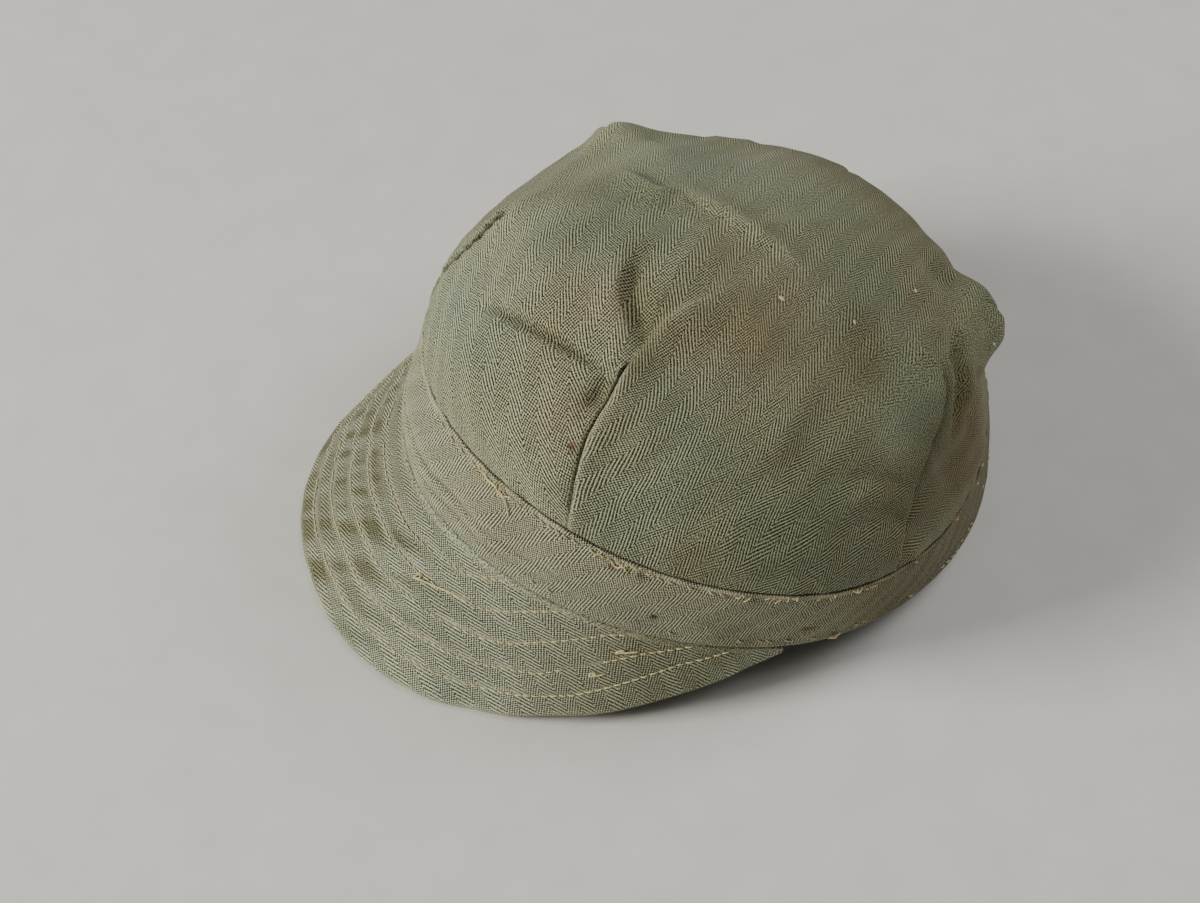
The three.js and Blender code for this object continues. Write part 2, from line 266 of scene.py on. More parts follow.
# shape of every sewn dart: groove, slit, open end, raised lip, low side, puckers, wear, and the painted
# shade in the slit and painted shadow on the low side
dartSewing = {
    "bowPeak": 6.75,  # brings the highest point of the bow to its full size
    "grooveWide": 1.7, "grooveFoot": 0.6, "slitDeep": 1.1, "slitShade": 0.8, "threadWide": 1.3,
    "openAt": 0.93, "openLong": 0.09, "openWide": 0.6, "openDeep": 1.2,
    "lipReach": 4.5, "lipStart": 0.7, "lowSink": 0.35, "lowReach": 4.0, "shadowReach": 1.6,
    "pastEnd": 2.0, "endSoft": 0.06, "puckers": 7.5, "puckerShift": 1.7,
    "puckerHigh": 0.22, "puckerAt": 2.5, "puckerWide": 3.0, "rub": 0.4, "rubAt": 1.2, "rubWide": 0.8,
}
# rows: height, half-width left and right of the line as it is walked, path of (azimuth, share)
crownFolds = [
    # the crease across the front panel and the puff that sags over it
    (-2.4, 1.4, 2.1, [(355, 0.388), (0, 0.425), (7, 0.45), (14, 0.467), (20, 0.475), (26, 0.475),
                      (33, 0.471), (37, 0.467)]),
    (1.1, 6.0, 2.6, [(355, 0.43), (0, 0.465), (7, 0.49), (14, 0.507), (20, 0.513), (26, 0.512),
                     (32, 0.507)]),
    (0.7, 3.0, 5.0, [(357, 0.34), (7, 0.395), (20, 0.42), (30, 0.42)]),
    # the valley above the near front dart, and the cloth thrown up on its left
    (-2.7, 2.6, 3.8, [(44, 0.575), (39, 0.613), (35, 0.629), (31, 0.65), (26, 0.679), (23, 0.708),
                      (20, 0.742), (14, 0.787)]),
    (1.6, 6.0, 3.0, [(38, 0.545), (34, 0.58), (29, 0.613), (23, 0.65), (16, 0.696), (10, 0.742)]),
    # a short tuck beside the same dart, whose edge runs on above it as a crease
    (-1.6, 4.5, 1.6, [(35.5, 0.475), (35.5, 0.42), (34.5, 0.36)]),
    (2.5, 1.1, 7.0, [(40, 0.53), (43, 0.57), (44, 0.605), (47, 0.655), (54, 0.713), (64, 0.767)]),
    # slack drape in the side panel
    (-0.9, 2.5, 3.0, [(42, 0.292), (46, 0.367), (48, 0.425)]),
    (-0.8, 4.0, 4.0, [(46, 0.217), (53, 0.329), (60, 0.429)]),
    (1.0, 4.0, 4.0, [(78, 0.417), (86, 0.521), (98, 0.592)]),
    (-0.9, 5.0, 5.0, [(58, 0.167), (67, 0.287), (78, 0.388), (88, 0.462)]),
    (-1.2, 2.5, 2.5, [(99, 0.408), (106, 0.362), (112, 0.3)]),
    (0.9, 3.0, 3.0, [(98, 0.346), (106, 0.296), (111, 0.246)]),
    (-0.9, 3.0, 3.0, [(94, 0.25), (103, 0.229), (109, 0.204)]),
    (0.9, 5.0, 5.0, [(60, 0.146), (70, 0.154), (82, 0.158), (94, 0.167)]),
    # crests across the top
    (2.6, 2.6, 6.0, [(297, 0.692), (301, 0.775), (302, 0.829), (292, 0.892)]),
    (2.0, 6.0, 2.8, [(284, 0.858), (264, 0.917), (228, 0.942), (174, 0.938), (152, 0.908), (142, 0.846),
                     (138, 0.804)]),
    (1.1, 7.0, 7.0, [(130, 0.767), (133, 0.704), (134, 0.65), (137, 0.583), (139, 0.562)]),
    # the groove behind the near side dart
    (-3.2, 1.9, 2.8, [(130, 0.346), (134, 0.421), (138, 0.471), (142, 0.525), (147, 0.558)]),
    (1.4, 4.0, 4.0, [(138, 0.283), (140, 0.417), (147, 0.521)]),
    (1.6, 6.0, 6.0, [(144, 0.62), (150, 0.56), (154, 0.48)]),
    (-1.6, 6.0, 6.0, [(119, 0.2), (132, 0.24), (145, 0.27)]),
    # far side and back
    (1.6, 6.0, 6.0, [(324, 0.49), (314, 0.52), (301, 0.5), (290, 0.48)]),
    (-1.0, 9.0, 9.0, [(187, 0.3), (190, 0.42), (188, 0.55)]),
    (-0.8, 9.0, 9.0, [(244, 0.28), (243, 0.36), (246, 0.42)]),
    (1.8, 8.0, 8.0, [(234, 0.49), (242, 0.5), (250, 0.5)]),
    (-2.2, 7.0, 7.0, [(138, 0.2), (142, 0.3), (145, 0.38), (148, 0.42)]),
]
# how folds fade at their ends, where they are rubbed pale, and where painted shade fills their valleys
foldWear = {"endHeight": 0.35, "endLong": 0.25, "rubFrom": 1.5, "rub": 0.2, "rubWide": 1.6,
            "valleyShadeFrom": -1.3, "shadeAndGrime": 0.55}
# rows: depth, radius, azimuth, share of the small hollows and swellings beside the dart points
crownDents = [
    (-1.8, 4.5, 39.5, 0.545), (-2.0, 6.0, 35.0, 0.404), (-3.4, 7.0, 165.0, 0.585), (-4.4, 6.5, 174.0, 0.45),
    (-1.7, 9.0, 155.0, 0.158), (1.2, 5.0, 156.0, 0.4), (-1.3, 8.0, 257.0, 0.417), (-2.0, 7.0, 287.0, 0.44),
    (-1.8, 7.0, 264.0, 0.6),
]


def dartAzimuth(i, share):
    foot, tip, climb, bend, bow = crownDarts[i, :5]
    t = np.minimum(1, share / climb)
    return foot + (tip - foot) * t**bend + bow * dartSewing["bowPeak"] * t**2 * (1 - t)


dartLines = []
for i in range(len(crownDarts)):
    shares = np.linspace(0, crownDarts[i, 2], 13)
    az = dartAzimuth(i, shares)
    dartLines.append((crownBase(az, shares), crownNormal(az, shares)))
foldLines = []
for *_, path in crownFolds:
    route = np.array(path, float)
    knots = np.linspace(0, 1, len(route))
    fine = np.linspace(0, 1, 4 * len(route))
    az = np.interp(fine, knots, np.unwrap(route[:, 0], period=360))
    shares = np.interp(fine, knots, route[:, 1])
    foldLines.append((crownBase(az, shares), crownNormal(az, shares)))


def crownRelief(base):
    # returns height out of the base form, painted shade in the dart slits with painted shadow beside the
    # raised lips, rubbed crests, painted shade in the fold valleys and how near the sewing of a dart is
    out, shade, rub, shadeAndGrime, sewing = (np.zeros(len(base)) for _ in range(5))
    sew, wear = dartSewing, foldWear
    for i, (line, normals) in enumerate(dartLines):
        groove, point, reach, lipSide, lip, openEnd, slitWidth, shadow = crownDarts[i, 5:]
        d, side, along = nearLine(base, line, normals)
        inside = smooth((1 - along) / sew["endSoft"])
        strip = bell(d - np.abs(side), sew["pastEnd"]) * inside
        opening = openEnd * bell(along - sew["openAt"], sew["openLong"])
        slit = bell(d, slitWidth + sew["openWide"] * opening) * inside
        raised = side * lipSide
        onLip, onLow = raised > 0, raised < 0
        lipShape = np.where(onLip, np.exp(-raised / sew["lipReach"]) * smooth(raised / sew["lipStart"]), 0)
        waves = np.sin(along * 2 * math.pi * sew["puckers"] + sew["puckerShift"] * i)
        pucker = waves * bell(np.abs(side) - sew["puckerAt"], sew["puckerWide"])
        out -= groove * bell(d, sew["grooveWide"]) * (sew["grooveFoot"] + (1 - sew["grooveFoot"]) * along)
        out -= (sew["slitDeep"] + sew["openDeep"] * opening) * slit
        out += (lip * lipShape + sew["puckerHigh"] * pucker) * strip
        out -= sew["lowSink"] * lip * np.where(onLow, np.exp(raised / sew["lowReach"]), 0) * inside
        out += point * nearSpot(base, line[-1], reach)
        sewing = np.maximum(sewing, bell(d, sew["threadWide"]) * inside)
        # painted shade in the slit, and painted shadow cast by the raised lip onto its low side
        shade = np.maximum(shade, slit * (sew["slitShade"] + (1 - sew["slitShade"]) * along))
        shade = np.maximum(shade, shadow * np.where(onLow, np.exp(raised / sew["shadowReach"]), 0) * strip)
        rubbedLip = sew["rub"] * (1 - shadow) * bell(raised - sew["rubAt"], sew["rubWide"])
        rub = np.maximum(rub, rubbedLip * inside)
    for (height, left, right, _), (line, normals) in zip(crownFolds, foldLines):
        d, side, along = nearLine(base, line, normals)
        ends = smooth(along / wear["endLong"]) * smooth((1 - along) / wear["endLong"])
        fade = wear["endHeight"] + (1 - wear["endHeight"]) * ends
        fold = bell(d, np.where(side > 0, right, left)) * fade
        out += height * fold
        if height > wear["rubFrom"]:
            rub = np.maximum(rub, wear["rub"] * bell(d, wear["rubWide"]) * fade)
        # painted shade in the deeper fold valleys
        if height < wear["valleyShadeFrom"]:
            shadeAndGrime = np.maximum(shadeAndGrime, wear["shadeAndGrime"] * fold)
    for depth, size, az, level in crownDents:
        out += depth * nearSpot(base, crownBase(az, level), size)
    return out, shade, rub, shadeAndGrime, sewing


# rows: azimuth, share, radius, then how brown and how green the washed-out patch is, and how much painted
# shade it adds (below zero it takes painted shade away)
crownMarks = [
    (17, 0.637, 13, 0.9, 0, 0.1), (14, 0.533, 9, 0.6, 0, 0), (20, 0.421, 9, 0.6, 0, 0),
    (32, 0.304, 10, 0.55, 0, 0), (46, 0.454, 12, 0.2, 0, 0), (61, 0.683, 14, 0.7, 0, 0.1),
    (78, 0.692, 16, 0.9, 0, 0.05), (84, 0.929, 12, 0.7, 0, 0.1), (124, 0.783, 14, 1.0, 0, 0),
    (101, 0.579, 14, 0.55, 0, 0), (97, 0.183, 13, 0.7, 0, 0), (74, 0.204, 12, 0.3, 0, 0.1),
    (64, 0.096, 10, 0.6, 0, 0.2), (116, 0.196, 12, 1.0, 0, 0.35), (123, 0.296, 12, 0.9, 0, 0.3),
    (148, 0.613, 12, 0.8, 0, 0.1), (347, 0.271, 14, 0, 0.8, 0), (2, 0.292, 12, 0, 0.6, 0),
    (52, 0.192, 12, 0, 0.6, 0), (344, 0.729, 14, 0, 0.7, 0.35), (353, 0.871, 12, 0, 0.5, 0.2),
    (338, 0.637, 12, 0, 0.7, 0.25), (320, 0.767, 16, 0, 0.7, 0.3), (254, 0.746, 18, 0, 0.6, 0),
    (220, 0.779, 16, 0, 0.5, 0), (91, 0.271, 12, 0, 0.5, 0.05), (124, 0.5, 10, 0, 0.5, 0),
    (134, 0.22, 18, 1.0, 0, 0.48), (12, 0.25, 20, 0.15, 0, 0.12), (282, 0.5, 15, 0, 0, -0.4),
    (50, 0.12, 14, 0, 0.7, -0.08), (58, 0.25, 12, 0, 0.5, 0), (70, 0.4, 26, 0, 0.35, 0),
    (52, 0.35, 22, 0, 0, -0.12), (36, 0.41, 5, 0, 0, 0.3), (30, 0.69, 7, 0.1, 0, 0.5),
    (38, 0.613, 7, 0, 0, 0.55), (44, 0.54, 5, 0, 0, 0.4), (15, 0.78, 7, 0, 0, 0.4),
    (308, 0.66, 11, 0, 0, 0.45), (288, 0.57, 8, 0, 0, 0.3), (208, 0.7, 16, 0, 0, -0.25),
    (68, 0.79, 9, 0, 0, 0.2), (129, 0.67, 9, 0.7, 0, 0.25), (119, 0.62, 9, 0.5, 0, 0.35),
    (114, 0.46, 7, 0, 0, -0.35), (121, 0.35, 10, 0.7, 0, 0), (84, 0.26, 10, 0, 0, 0.12),
    (86, 0.37, 9, 0, 0, 0.06), (80, 0.2, 22, 0, 0.7, -0.04), (84, 0.421, 8, 0.7, 0, 0),
    (107, 0.27, 9, 0.8, 0, 0.1), (104, 0.06, 13, 1.0, 0, 0.12), (92, 0.13, 9, 0.8, 0, 0),
    (84, 0.06, 9, 0.5, 0, 0),
]
# rows: azimuth, share, radius and strength of the patches where the nap hides the lines
crownNap = [(126, 0.53, 26, 0.6), (150, 0.5, 20, 0.75), (150, 0.26, 20, 0.6), (115, 0.8, 26, 0.4),
            (168, 0.3, 20, 0.5)]
# painted shade darkens the sides and back, from the darts on, and less towards the top
# pairs give where a change starts and how long it takes, in degrees or shares
crownWear = {
    "paintedShading": 0.56, "shadedFrom": (38, 4), "shadedTo": (315, 15), "shadedTop": 0.5, "shadedFade": (0.45, 0.2),
    "brown": 0.85, "rustSpot": (36.0, 0.258), "rustSize": 1.2,
    "behindFrom": (175, 20), "behindTo": (315, 20), "behindEven": 0.5,
    "topFelt": 0.2, "topFeltFrom": (0.62, 0.25), "feltMost": 0.5,
    "backFelt": 0.3, "backFeltFrom": (0.35, 0.2),
}


def change(value, startAndLength):
    start, length = startAndLength
    return smooth((value - start) / length)


def crownPaint(base, azimuth, share, foldShade, sewing, wear):
    # values from 0 to 1 at each point for the cloth's material, and how far behind the cap it lies
    azimuth = np.mod(azimuth, 360).ravel()
    share = share.ravel()
    # painted shade over the sides and back, less towards the top, plus the painted shade of the marks
    paintedShading = wear["paintedShading"] * (change(azimuth, wear["shadedFrom"]) - change(azimuth, wear["shadedTo"]))
    paintedShading = paintedShading * (1 - wear["shadedTop"] * change(share, wear["shadedFade"]))
    brown, green = np.zeros(len(base)), np.zeros(len(base))
    for az, level, size, isBrown, isGreen, isShaded in crownMarks:
        mark = nearSpot(base, crownBase(az, level), size)
        brown = np.maximum(brown, wear["brown"] * isBrown * mark)
        green = np.maximum(green, isGreen * mark)
        paintedShading = paintedShading + isShaded * mark
    behind = change(azimuth, wear["behindFrom"]) - change(azimuth, wear["behindTo"])
    felted = wear["topFelt"] * change(share, wear["topFeltFrom"])
    felted = felted + wear["backFelt"] * behind * change(share, wear["backFeltFrom"])
    felted = np.maximum(np.clip(felted, 0, wear["feltMost"]), sewing)
    for az, level, size, strength in crownNap:
        felted = np.maximum(felted, strength * nearSpot(base, crownBase(az, level), size))
    drawnSpot = crownBase(*crownGrain["drawnAt"])
    crisp = crownGrain["crisp"] * nearSpot(base, drawnSpot, crownGrain["crispReach"])
    values = {
        "shadeAndGrime": np.clip(np.maximum(foldShade, paintedShading), 0, 1), "brown": brown, "green": green,
        "rust": nearSpot(base, crownBase(*wear["rustSpot"]), wear["rustSize"]),
        "felted": felted, "crisp": np.clip(crisp, 0, 1),
    }
    return values, behind


def makeMesh(name, points, faces, cornerUv=None, values=None):
    mesh = bpy.data.meshes.new(name)
    mesh.from_pydata(((points + capShift) * mm).tolist(), [], [tuple(f) for f in faces])
    if cornerUv is not None:
        layer = mesh.uv_layers.new(name="weave")
        layer.data.foreach_set("uv", np.asarray(cornerUv, np.float32).ravel())
    for key, value in (values or {}).items():
        attribute = mesh.attributes.new(key, "FLOAT", "POINT")
        attribute.data.foreach_set("value", np.asarray(value, np.float32).ravel())
    mesh.polygons.foreach_set("use_smooth", [True] * len(mesh.polygons))
    mesh.update()
    piece = bpy.data.objects.new(name, mesh)
    bpy.context.scene.collection.objects.link(piece)
    print(name + ":", len(faces), "faces")
    return piece


def ringNormals(grid):
    # grid: rows by columns of points, with columns that close in a ring
    across = np.roll(grid, -1, 1) - np.roll(grid, 1, 1)
    return unit(np.cross(across, np.gradient(grid, axis=0)))


# flat cloth coordinates of the crown, so that the weave runs on through it and breaks at the darts
crownGrain = {
    "bias": 42.0, "takenIn": 0.82, "takenTo": 0.5,
    "hinge": 62.0, "panelTurn": np.array([17.5, 0, 0, 0, 0, -10]),
    "turnFade": (0.15, 0.6), "creasedPanel": 5,
    # low on the near side the cloth is drawn out: its lines lie wider apart and are all crisp
    "drawnAt": (93, 0.22), "drawnReach": 46.0, "drawnOut": 0.22, "acrossPanel": 0.75,
    "crisp": 1.6, "crispReach": 36.0,
}
# the front crease, azimuth and share: the cloth below it hangs turned against the cloth above
frontCrease = np.array([(325, 0.48), (355, 0.37), (368, 0.425), (380, 0.45), (391, 0.46), (397, 0.47),
                        (400, 0.51)])


def gridCorners(rows, columns, step):
    r, c = np.meshgrid(np.arange(0, rows, step), np.arange(0, columns, step), indexing="ij")
    r, c = r.ravel()[:, None], c.ravel()[:, None]
    return r + np.array([0, 0, step, step]), c + np.array([0, step, step, 0])


def buildCrown(form):
    perPanel, rings, count = form["panelColumns"], form["rings"], len(crownDarts)
    columns = perPanel * count
    t = np.linspace(0, 1, perPanel, endpoint=False)
    fractions = t - form["gather"] * np.sin(2 * math.pi * t) / (2 * math.pi)
    shares = capForm["topShare"] * np.linspace(0, 1, rings) ** form["ringSpread"]
    feet = np.array([dartAzimuth(i, shares) for i in range(count)])
    nextFeet = np.vstack([feet[1:], feet[:1] + 360])
    panels = [low[:, None] + (high - low)[:, None] * fractions for low, high in zip(feet, nextFeet)]
    azimuth = np.concatenate(panels, 1)
    share = np.repeat(shares[:, None], columns, 1)
    base, normal = crownBase(azimuth, share), crownNormal(azimuth, share)
    flatBase, flatShare = base.reshape(-1, 3), share.ravel()

    # the outer face: base form, folds and unevenness, then the roll of its lower edge and the front's puff
    relief, shade, rub, foldShade, sewing = crownRelief(flatBase)
    values, behind = crownPaint(flatBase, azimuth, share, foldShade, sewing, crownWear)
    rng = np.random.default_rng(5)
    turns = (np.sin(azimuth * k * math.pi / 180 + rng.uniform(0, 6.28)) for k in form["puckerTurns"])
    pucker = (sum(turns) / 2 * np.exp(-share / form["puckerFade"]) * form["seamPucker"]).ravel()
    uneven = sum(height * ripple(flatBase, length, seed) for height, length, seed in form["uneven"])
    uneven = uneven * (1 - crownWear["behindEven"] * behind)
    relief = (relief + uneven) * smooth(flatShare / 0.1) + pucker * smooth(flatShare / 0.015)
    outer = (flatBase + normal.reshape(-1, 3) * relief[:, None]).reshape(rings, columns, 3)
    roll = form["lowerRoll"] * np.clip(1 - share / form["rollShare"], 0, 1) ** 2
    puff = frontPuff(azimuth) * (1 - smooth(share / form["puffFade"]))
    inwardFlat = unit(np.stack([-base[..., 0], seam["centreY"] - base[..., 1], 0 * share], -1))
    outer = outer + inwardFlat * (roll - puff)[..., None]
    # painted shade where the lower edge rolls in under the seam
    seamLineShade = form["seamShade"] * np.clip(1 - share / form["seamShare"], 0, 1)
    values.update(sewnDark=np.maximum(shade, seamLineShade.ravel()), rubbed=rub)

    # the inner face has every other ring and column
    inner = (outer - ringNormals(outer) * form["wall"])[::2, ::2]
    inner[0] = (outer[0] + inwardFlat[0] * form["wall"])[::2]
    top = crownBase(0.0, 1.0) + np.array([0, 0, form["apexLift"]])
    topUnder = top - [0, 0, form["wall"]]
    points = np.vstack([outer.reshape(-1, 3), inner.reshape(-1, 3), top[None], topUnder[None]])

    # lengths along each section from the top give the flat radius
    steps = np.linalg.norm(np.diff(base, axis=0), axis=2)
    radius = np.vstack([np.cumsum(steps[::-1], 0)[::-1], np.zeros((1, columns))])
    radius = radius + np.linalg.norm(base[-1] - top, axis=1)
    grain = crownGrain
    tips = [dartAzimuth(i, grain["takenTo"]) for i in range(count)]
    panelMiddle = (np.array(tips) + np.array(tips[1:] + [tips[0] + 360])) / 2
    drawnAzimuth, drawnShare = grain["drawnAt"]
    drawnColumn = round(grain["acrossPanel"] * perPanel)
    drawnPlace = flatPolar(radius[np.searchsorted(shares, drawnShare), drawnColumn], drawnAzimuth)

    def flatUv(r, c):
        # r and c are index arrays of face corners, one row for each face
        panel = np.repeat((c[:, :1] // perPanel) % count, c.shape[1], 1)
        az = azimuth[r, c % columns] + np.where(c >= columns, 360, 0)
        middle = (feet[panel, r] + nextFeet[panel, r]) / 2
        taken = 1 - (1 - grain["takenIn"]) * np.clip(1 - shares[r] / grain["takenTo"], 0, 1)
        flat = flatPolar(radius[r, c % columns], middle + (az - middle) * taken)
        drawn = nearSpot(flat, drawnPlace, grain["drawnReach"])[..., None]
        flat = drawnPlace + (flat - drawnPlace) * (1 - grain["drawnOut"] * drawn)
        hinge = flatPolar(grain["hinge"], panelMiddle[panel])
        creaseShare = np.interp(az.mean(1), frontCrease[:, 0], frontCrease[:, 1])
        belowCrease = (shares[r].mean(1) < creaseShare)[:, None]
        ramp = 1 - change(shares[r], grain["turnFade"])
        ramp = np.where(panel == grain["creasedPanel"], belowCrease, ramp)
        flat = hinge + turnFlat(flat - hinge, grain["panelTurn"][panel] * ramp)
        return turnFlat(flat, -grain["bias"])

    total, half, last = rings * columns, columns // 2, rings - 1
    outerR, outerC = gridCorners(last, columns, 1)
    innerR, innerC = (q[:, ::-1] for q in gridCorners(last, columns, 2))
    everyColumn, everyOther = np.arange(columns)[:, None], np.arange(0, columns, 2)[:, None]
    capC, capUnderC = everyColumn + np.array([0, 1, 0]), everyOther + np.array([2, 0, 0])
    edgeC = everyOther + np.array([2, 1, 0, 0, 2])
    capRing = last * columns + capC[:, :2] % columns
    underRing = total + last // 2 * half + capUnderC[:, :2] % columns // 2
    faceParts = (
        outerR * columns + outerC % columns,
        total + innerR // 2 * half + innerC % columns // 2,
        np.hstack([capRing, np.full((columns, 1), len(points) - 2)]),
        np.hstack([underRing, np.full((half, 1), len(points) - 1)]),
        np.hstack([edgeC[:, :3] % columns, total + edgeC[:, 3:] % columns // 2]),
    )
    capUv = flatUv(np.full(capC.shape, last), capC)
    capUnderUv = flatUv(np.full(capUnderC.shape, last), capUnderC - capUnderC % 2)
    capUv[:, 2] = capUnderUv[:, 2] = 0
    uvParts = (flatUv(outerR, outerC), flatUv(innerR, innerC), capUv, capUnderUv, flatUv(0 * edgeC, edgeC))
    faces = [row for part in faceParts for row in part.tolist()]
    uv = np.vstack([part.reshape(-1, 2) for part in uvParts])
    # the inner faces get an even painted shade and no other marks
    inside = np.zeros(len(points) - total)
    for key, value in values.items():
        filled = inside + form["insideShade"] if key == "sewnDark" else inside
        values[key] = np.concatenate([value, filled])
    return makeMesh("crown_cloth", points, faces, uv, values)


# the band: a loop of doubled cloth with a turned hem along its lower edge
bandCloth = {
    "wall": 2.2, "columns": 660, "clearance": 0.3, "height": 31.3, "hem": 5.2, "bias": 54.0,
    "faceShares": [(0, 0.008, 0.02, 0.04, 0.07, 0.1, 0.13, 0.16, 0.18, 0.2, 0.22),
                   np.linspace(0.24, 0.86, 27), (0.88, 0.9, 0.92, 0.94, 0.96, 0.98, 0.99, 1.0)],
    "innerRows": 9, "puffFade": 0.35,
    "waviness": 0.35, "waveLength": 26, "pucker": 0.16, "puckerLength": 7.5,
    # rise, height and width of the soft rolls over the forehead
    "rolls": [(4.6, 0.5, 1.3), (7.0, -0.5, 1.1), (9.4, 0.7, 1.4), (12.2, -0.6, 1.2), (15.0, 0.5, 1.6)],
    "rollsAt": -4, "rollsWide": 36,
}


def bandFrame(azimuth):
    low, high = rimPoint(azimuth), seamPoint(azimuth)
    up = unit(high - low)
    high = high - up * bandCloth["clearance"]
    out = unit(np.stack([low[..., 0], low[..., 1], 0 * low[..., 0]], -1))
    return low, high, up, out


def bandRolls(azimuth, rise):
    front = bell(fromAzimuth(azimuth, bandCloth["rollsAt"]), bandCloth["rollsWide"])
    return front * sum(height * bell(rise - at, width) for at, height, width in bandCloth["rolls"])


def bandFace(azimuth, share):
    # outer face of the band with its hem, its soft rolls and the pull of its sewing
    form = bandCloth
    low, high, _, out = bandFrame(azimuth)
    height = np.linalg.norm(high - low, axis=-1)
    rise = share * height
    fall = height - rise
    place = low + (high - low) * share[..., None]
    offset = 0.55 * np.sin(np.pi * np.clip(share, 0, 1)) + 0.1
    offset += 0.2 * (1 - smooth((rise - form["hem"]) / 1.5)) - 0.4 * bell(rise - form["hem"] + 0.4, 1.1)
    offset += bandRolls(azimuth, rise)
    offset -= 0.8 * np.clip(1 - rise / 1.6, 0, 1) ** 2  # rounded lower edge
    offset -= 0.5 * np.clip(1 - fall / 0.9, 0, 1) ** 2  # rounded upper edge
    offset -= 0.3 * bell(fall - 2.4, 0.8)  # pulled in by the upper row of sewing
    offset += form["waviness"] * ripple(place, form["waveLength"], 31) * smooth(rise / 4) * smooth(fall / 5)
    nearSewing = bell(rise - form["hem"], 3) + bell(fall, 4)
    offset += form["pucker"] * ripple(place * [1, 1, 0.3], form["puckerLength"], 32) * nearSewing
    offset += frontPuff(azimuth) * smooth(share / form["puffFade"])
    return place + out * offset[..., None]


# worn places of the band, its painted shade and the painted highlights on its rolls:
# share or rise, strength and width of each line of wear
bandWear = {
    "rubbed": [(0.975, 1.3, 0.035), (0.02, 0.7, 0.05), (0.14, 0.35, 0.03)], "rubLength": 14,
    # painted shade along the top edge and under the hem; painted highlights on the roll crests and painted
    # shade in their valleys
    "seamLineShade": (0.8, 0.006), "hemShade": (0.1, 0.6), "hemLine": 4.8, "rollHighlight": 0.7, "rollShade": 1.2,
    # painted shade over the whole band, more on the sides, and evenly on the inside
    "sideShade": (0.05, 0.27), "sideShadeFrom": (36, 20), "sideShadeTo": (300, 30), "inside": 0.25,
    "stain": (0.5, 0.8), "stainFrom": (88, 22), "stainTo": (150, 40),
    # azimuth, share, radius and strength of rust spots and stains, then one small worn hole with painted
    # shade inside it
    "spots": [(49.0, 0.86, 1.7, 0.8), (54.0, 0.89, 1.5, 0.7), (51.3, 0.87, 1.0, 0.5), (86.8, 0.39, 1.3, 1.0),
              (88.2, 0.4, 1.0, 0.8), (95.2, 0.14, 1.0, 0.9)],
    "hole": (59.3, 0.34, 0.9), "holeDeep": 0.9, "holeShade": 1.6,
}


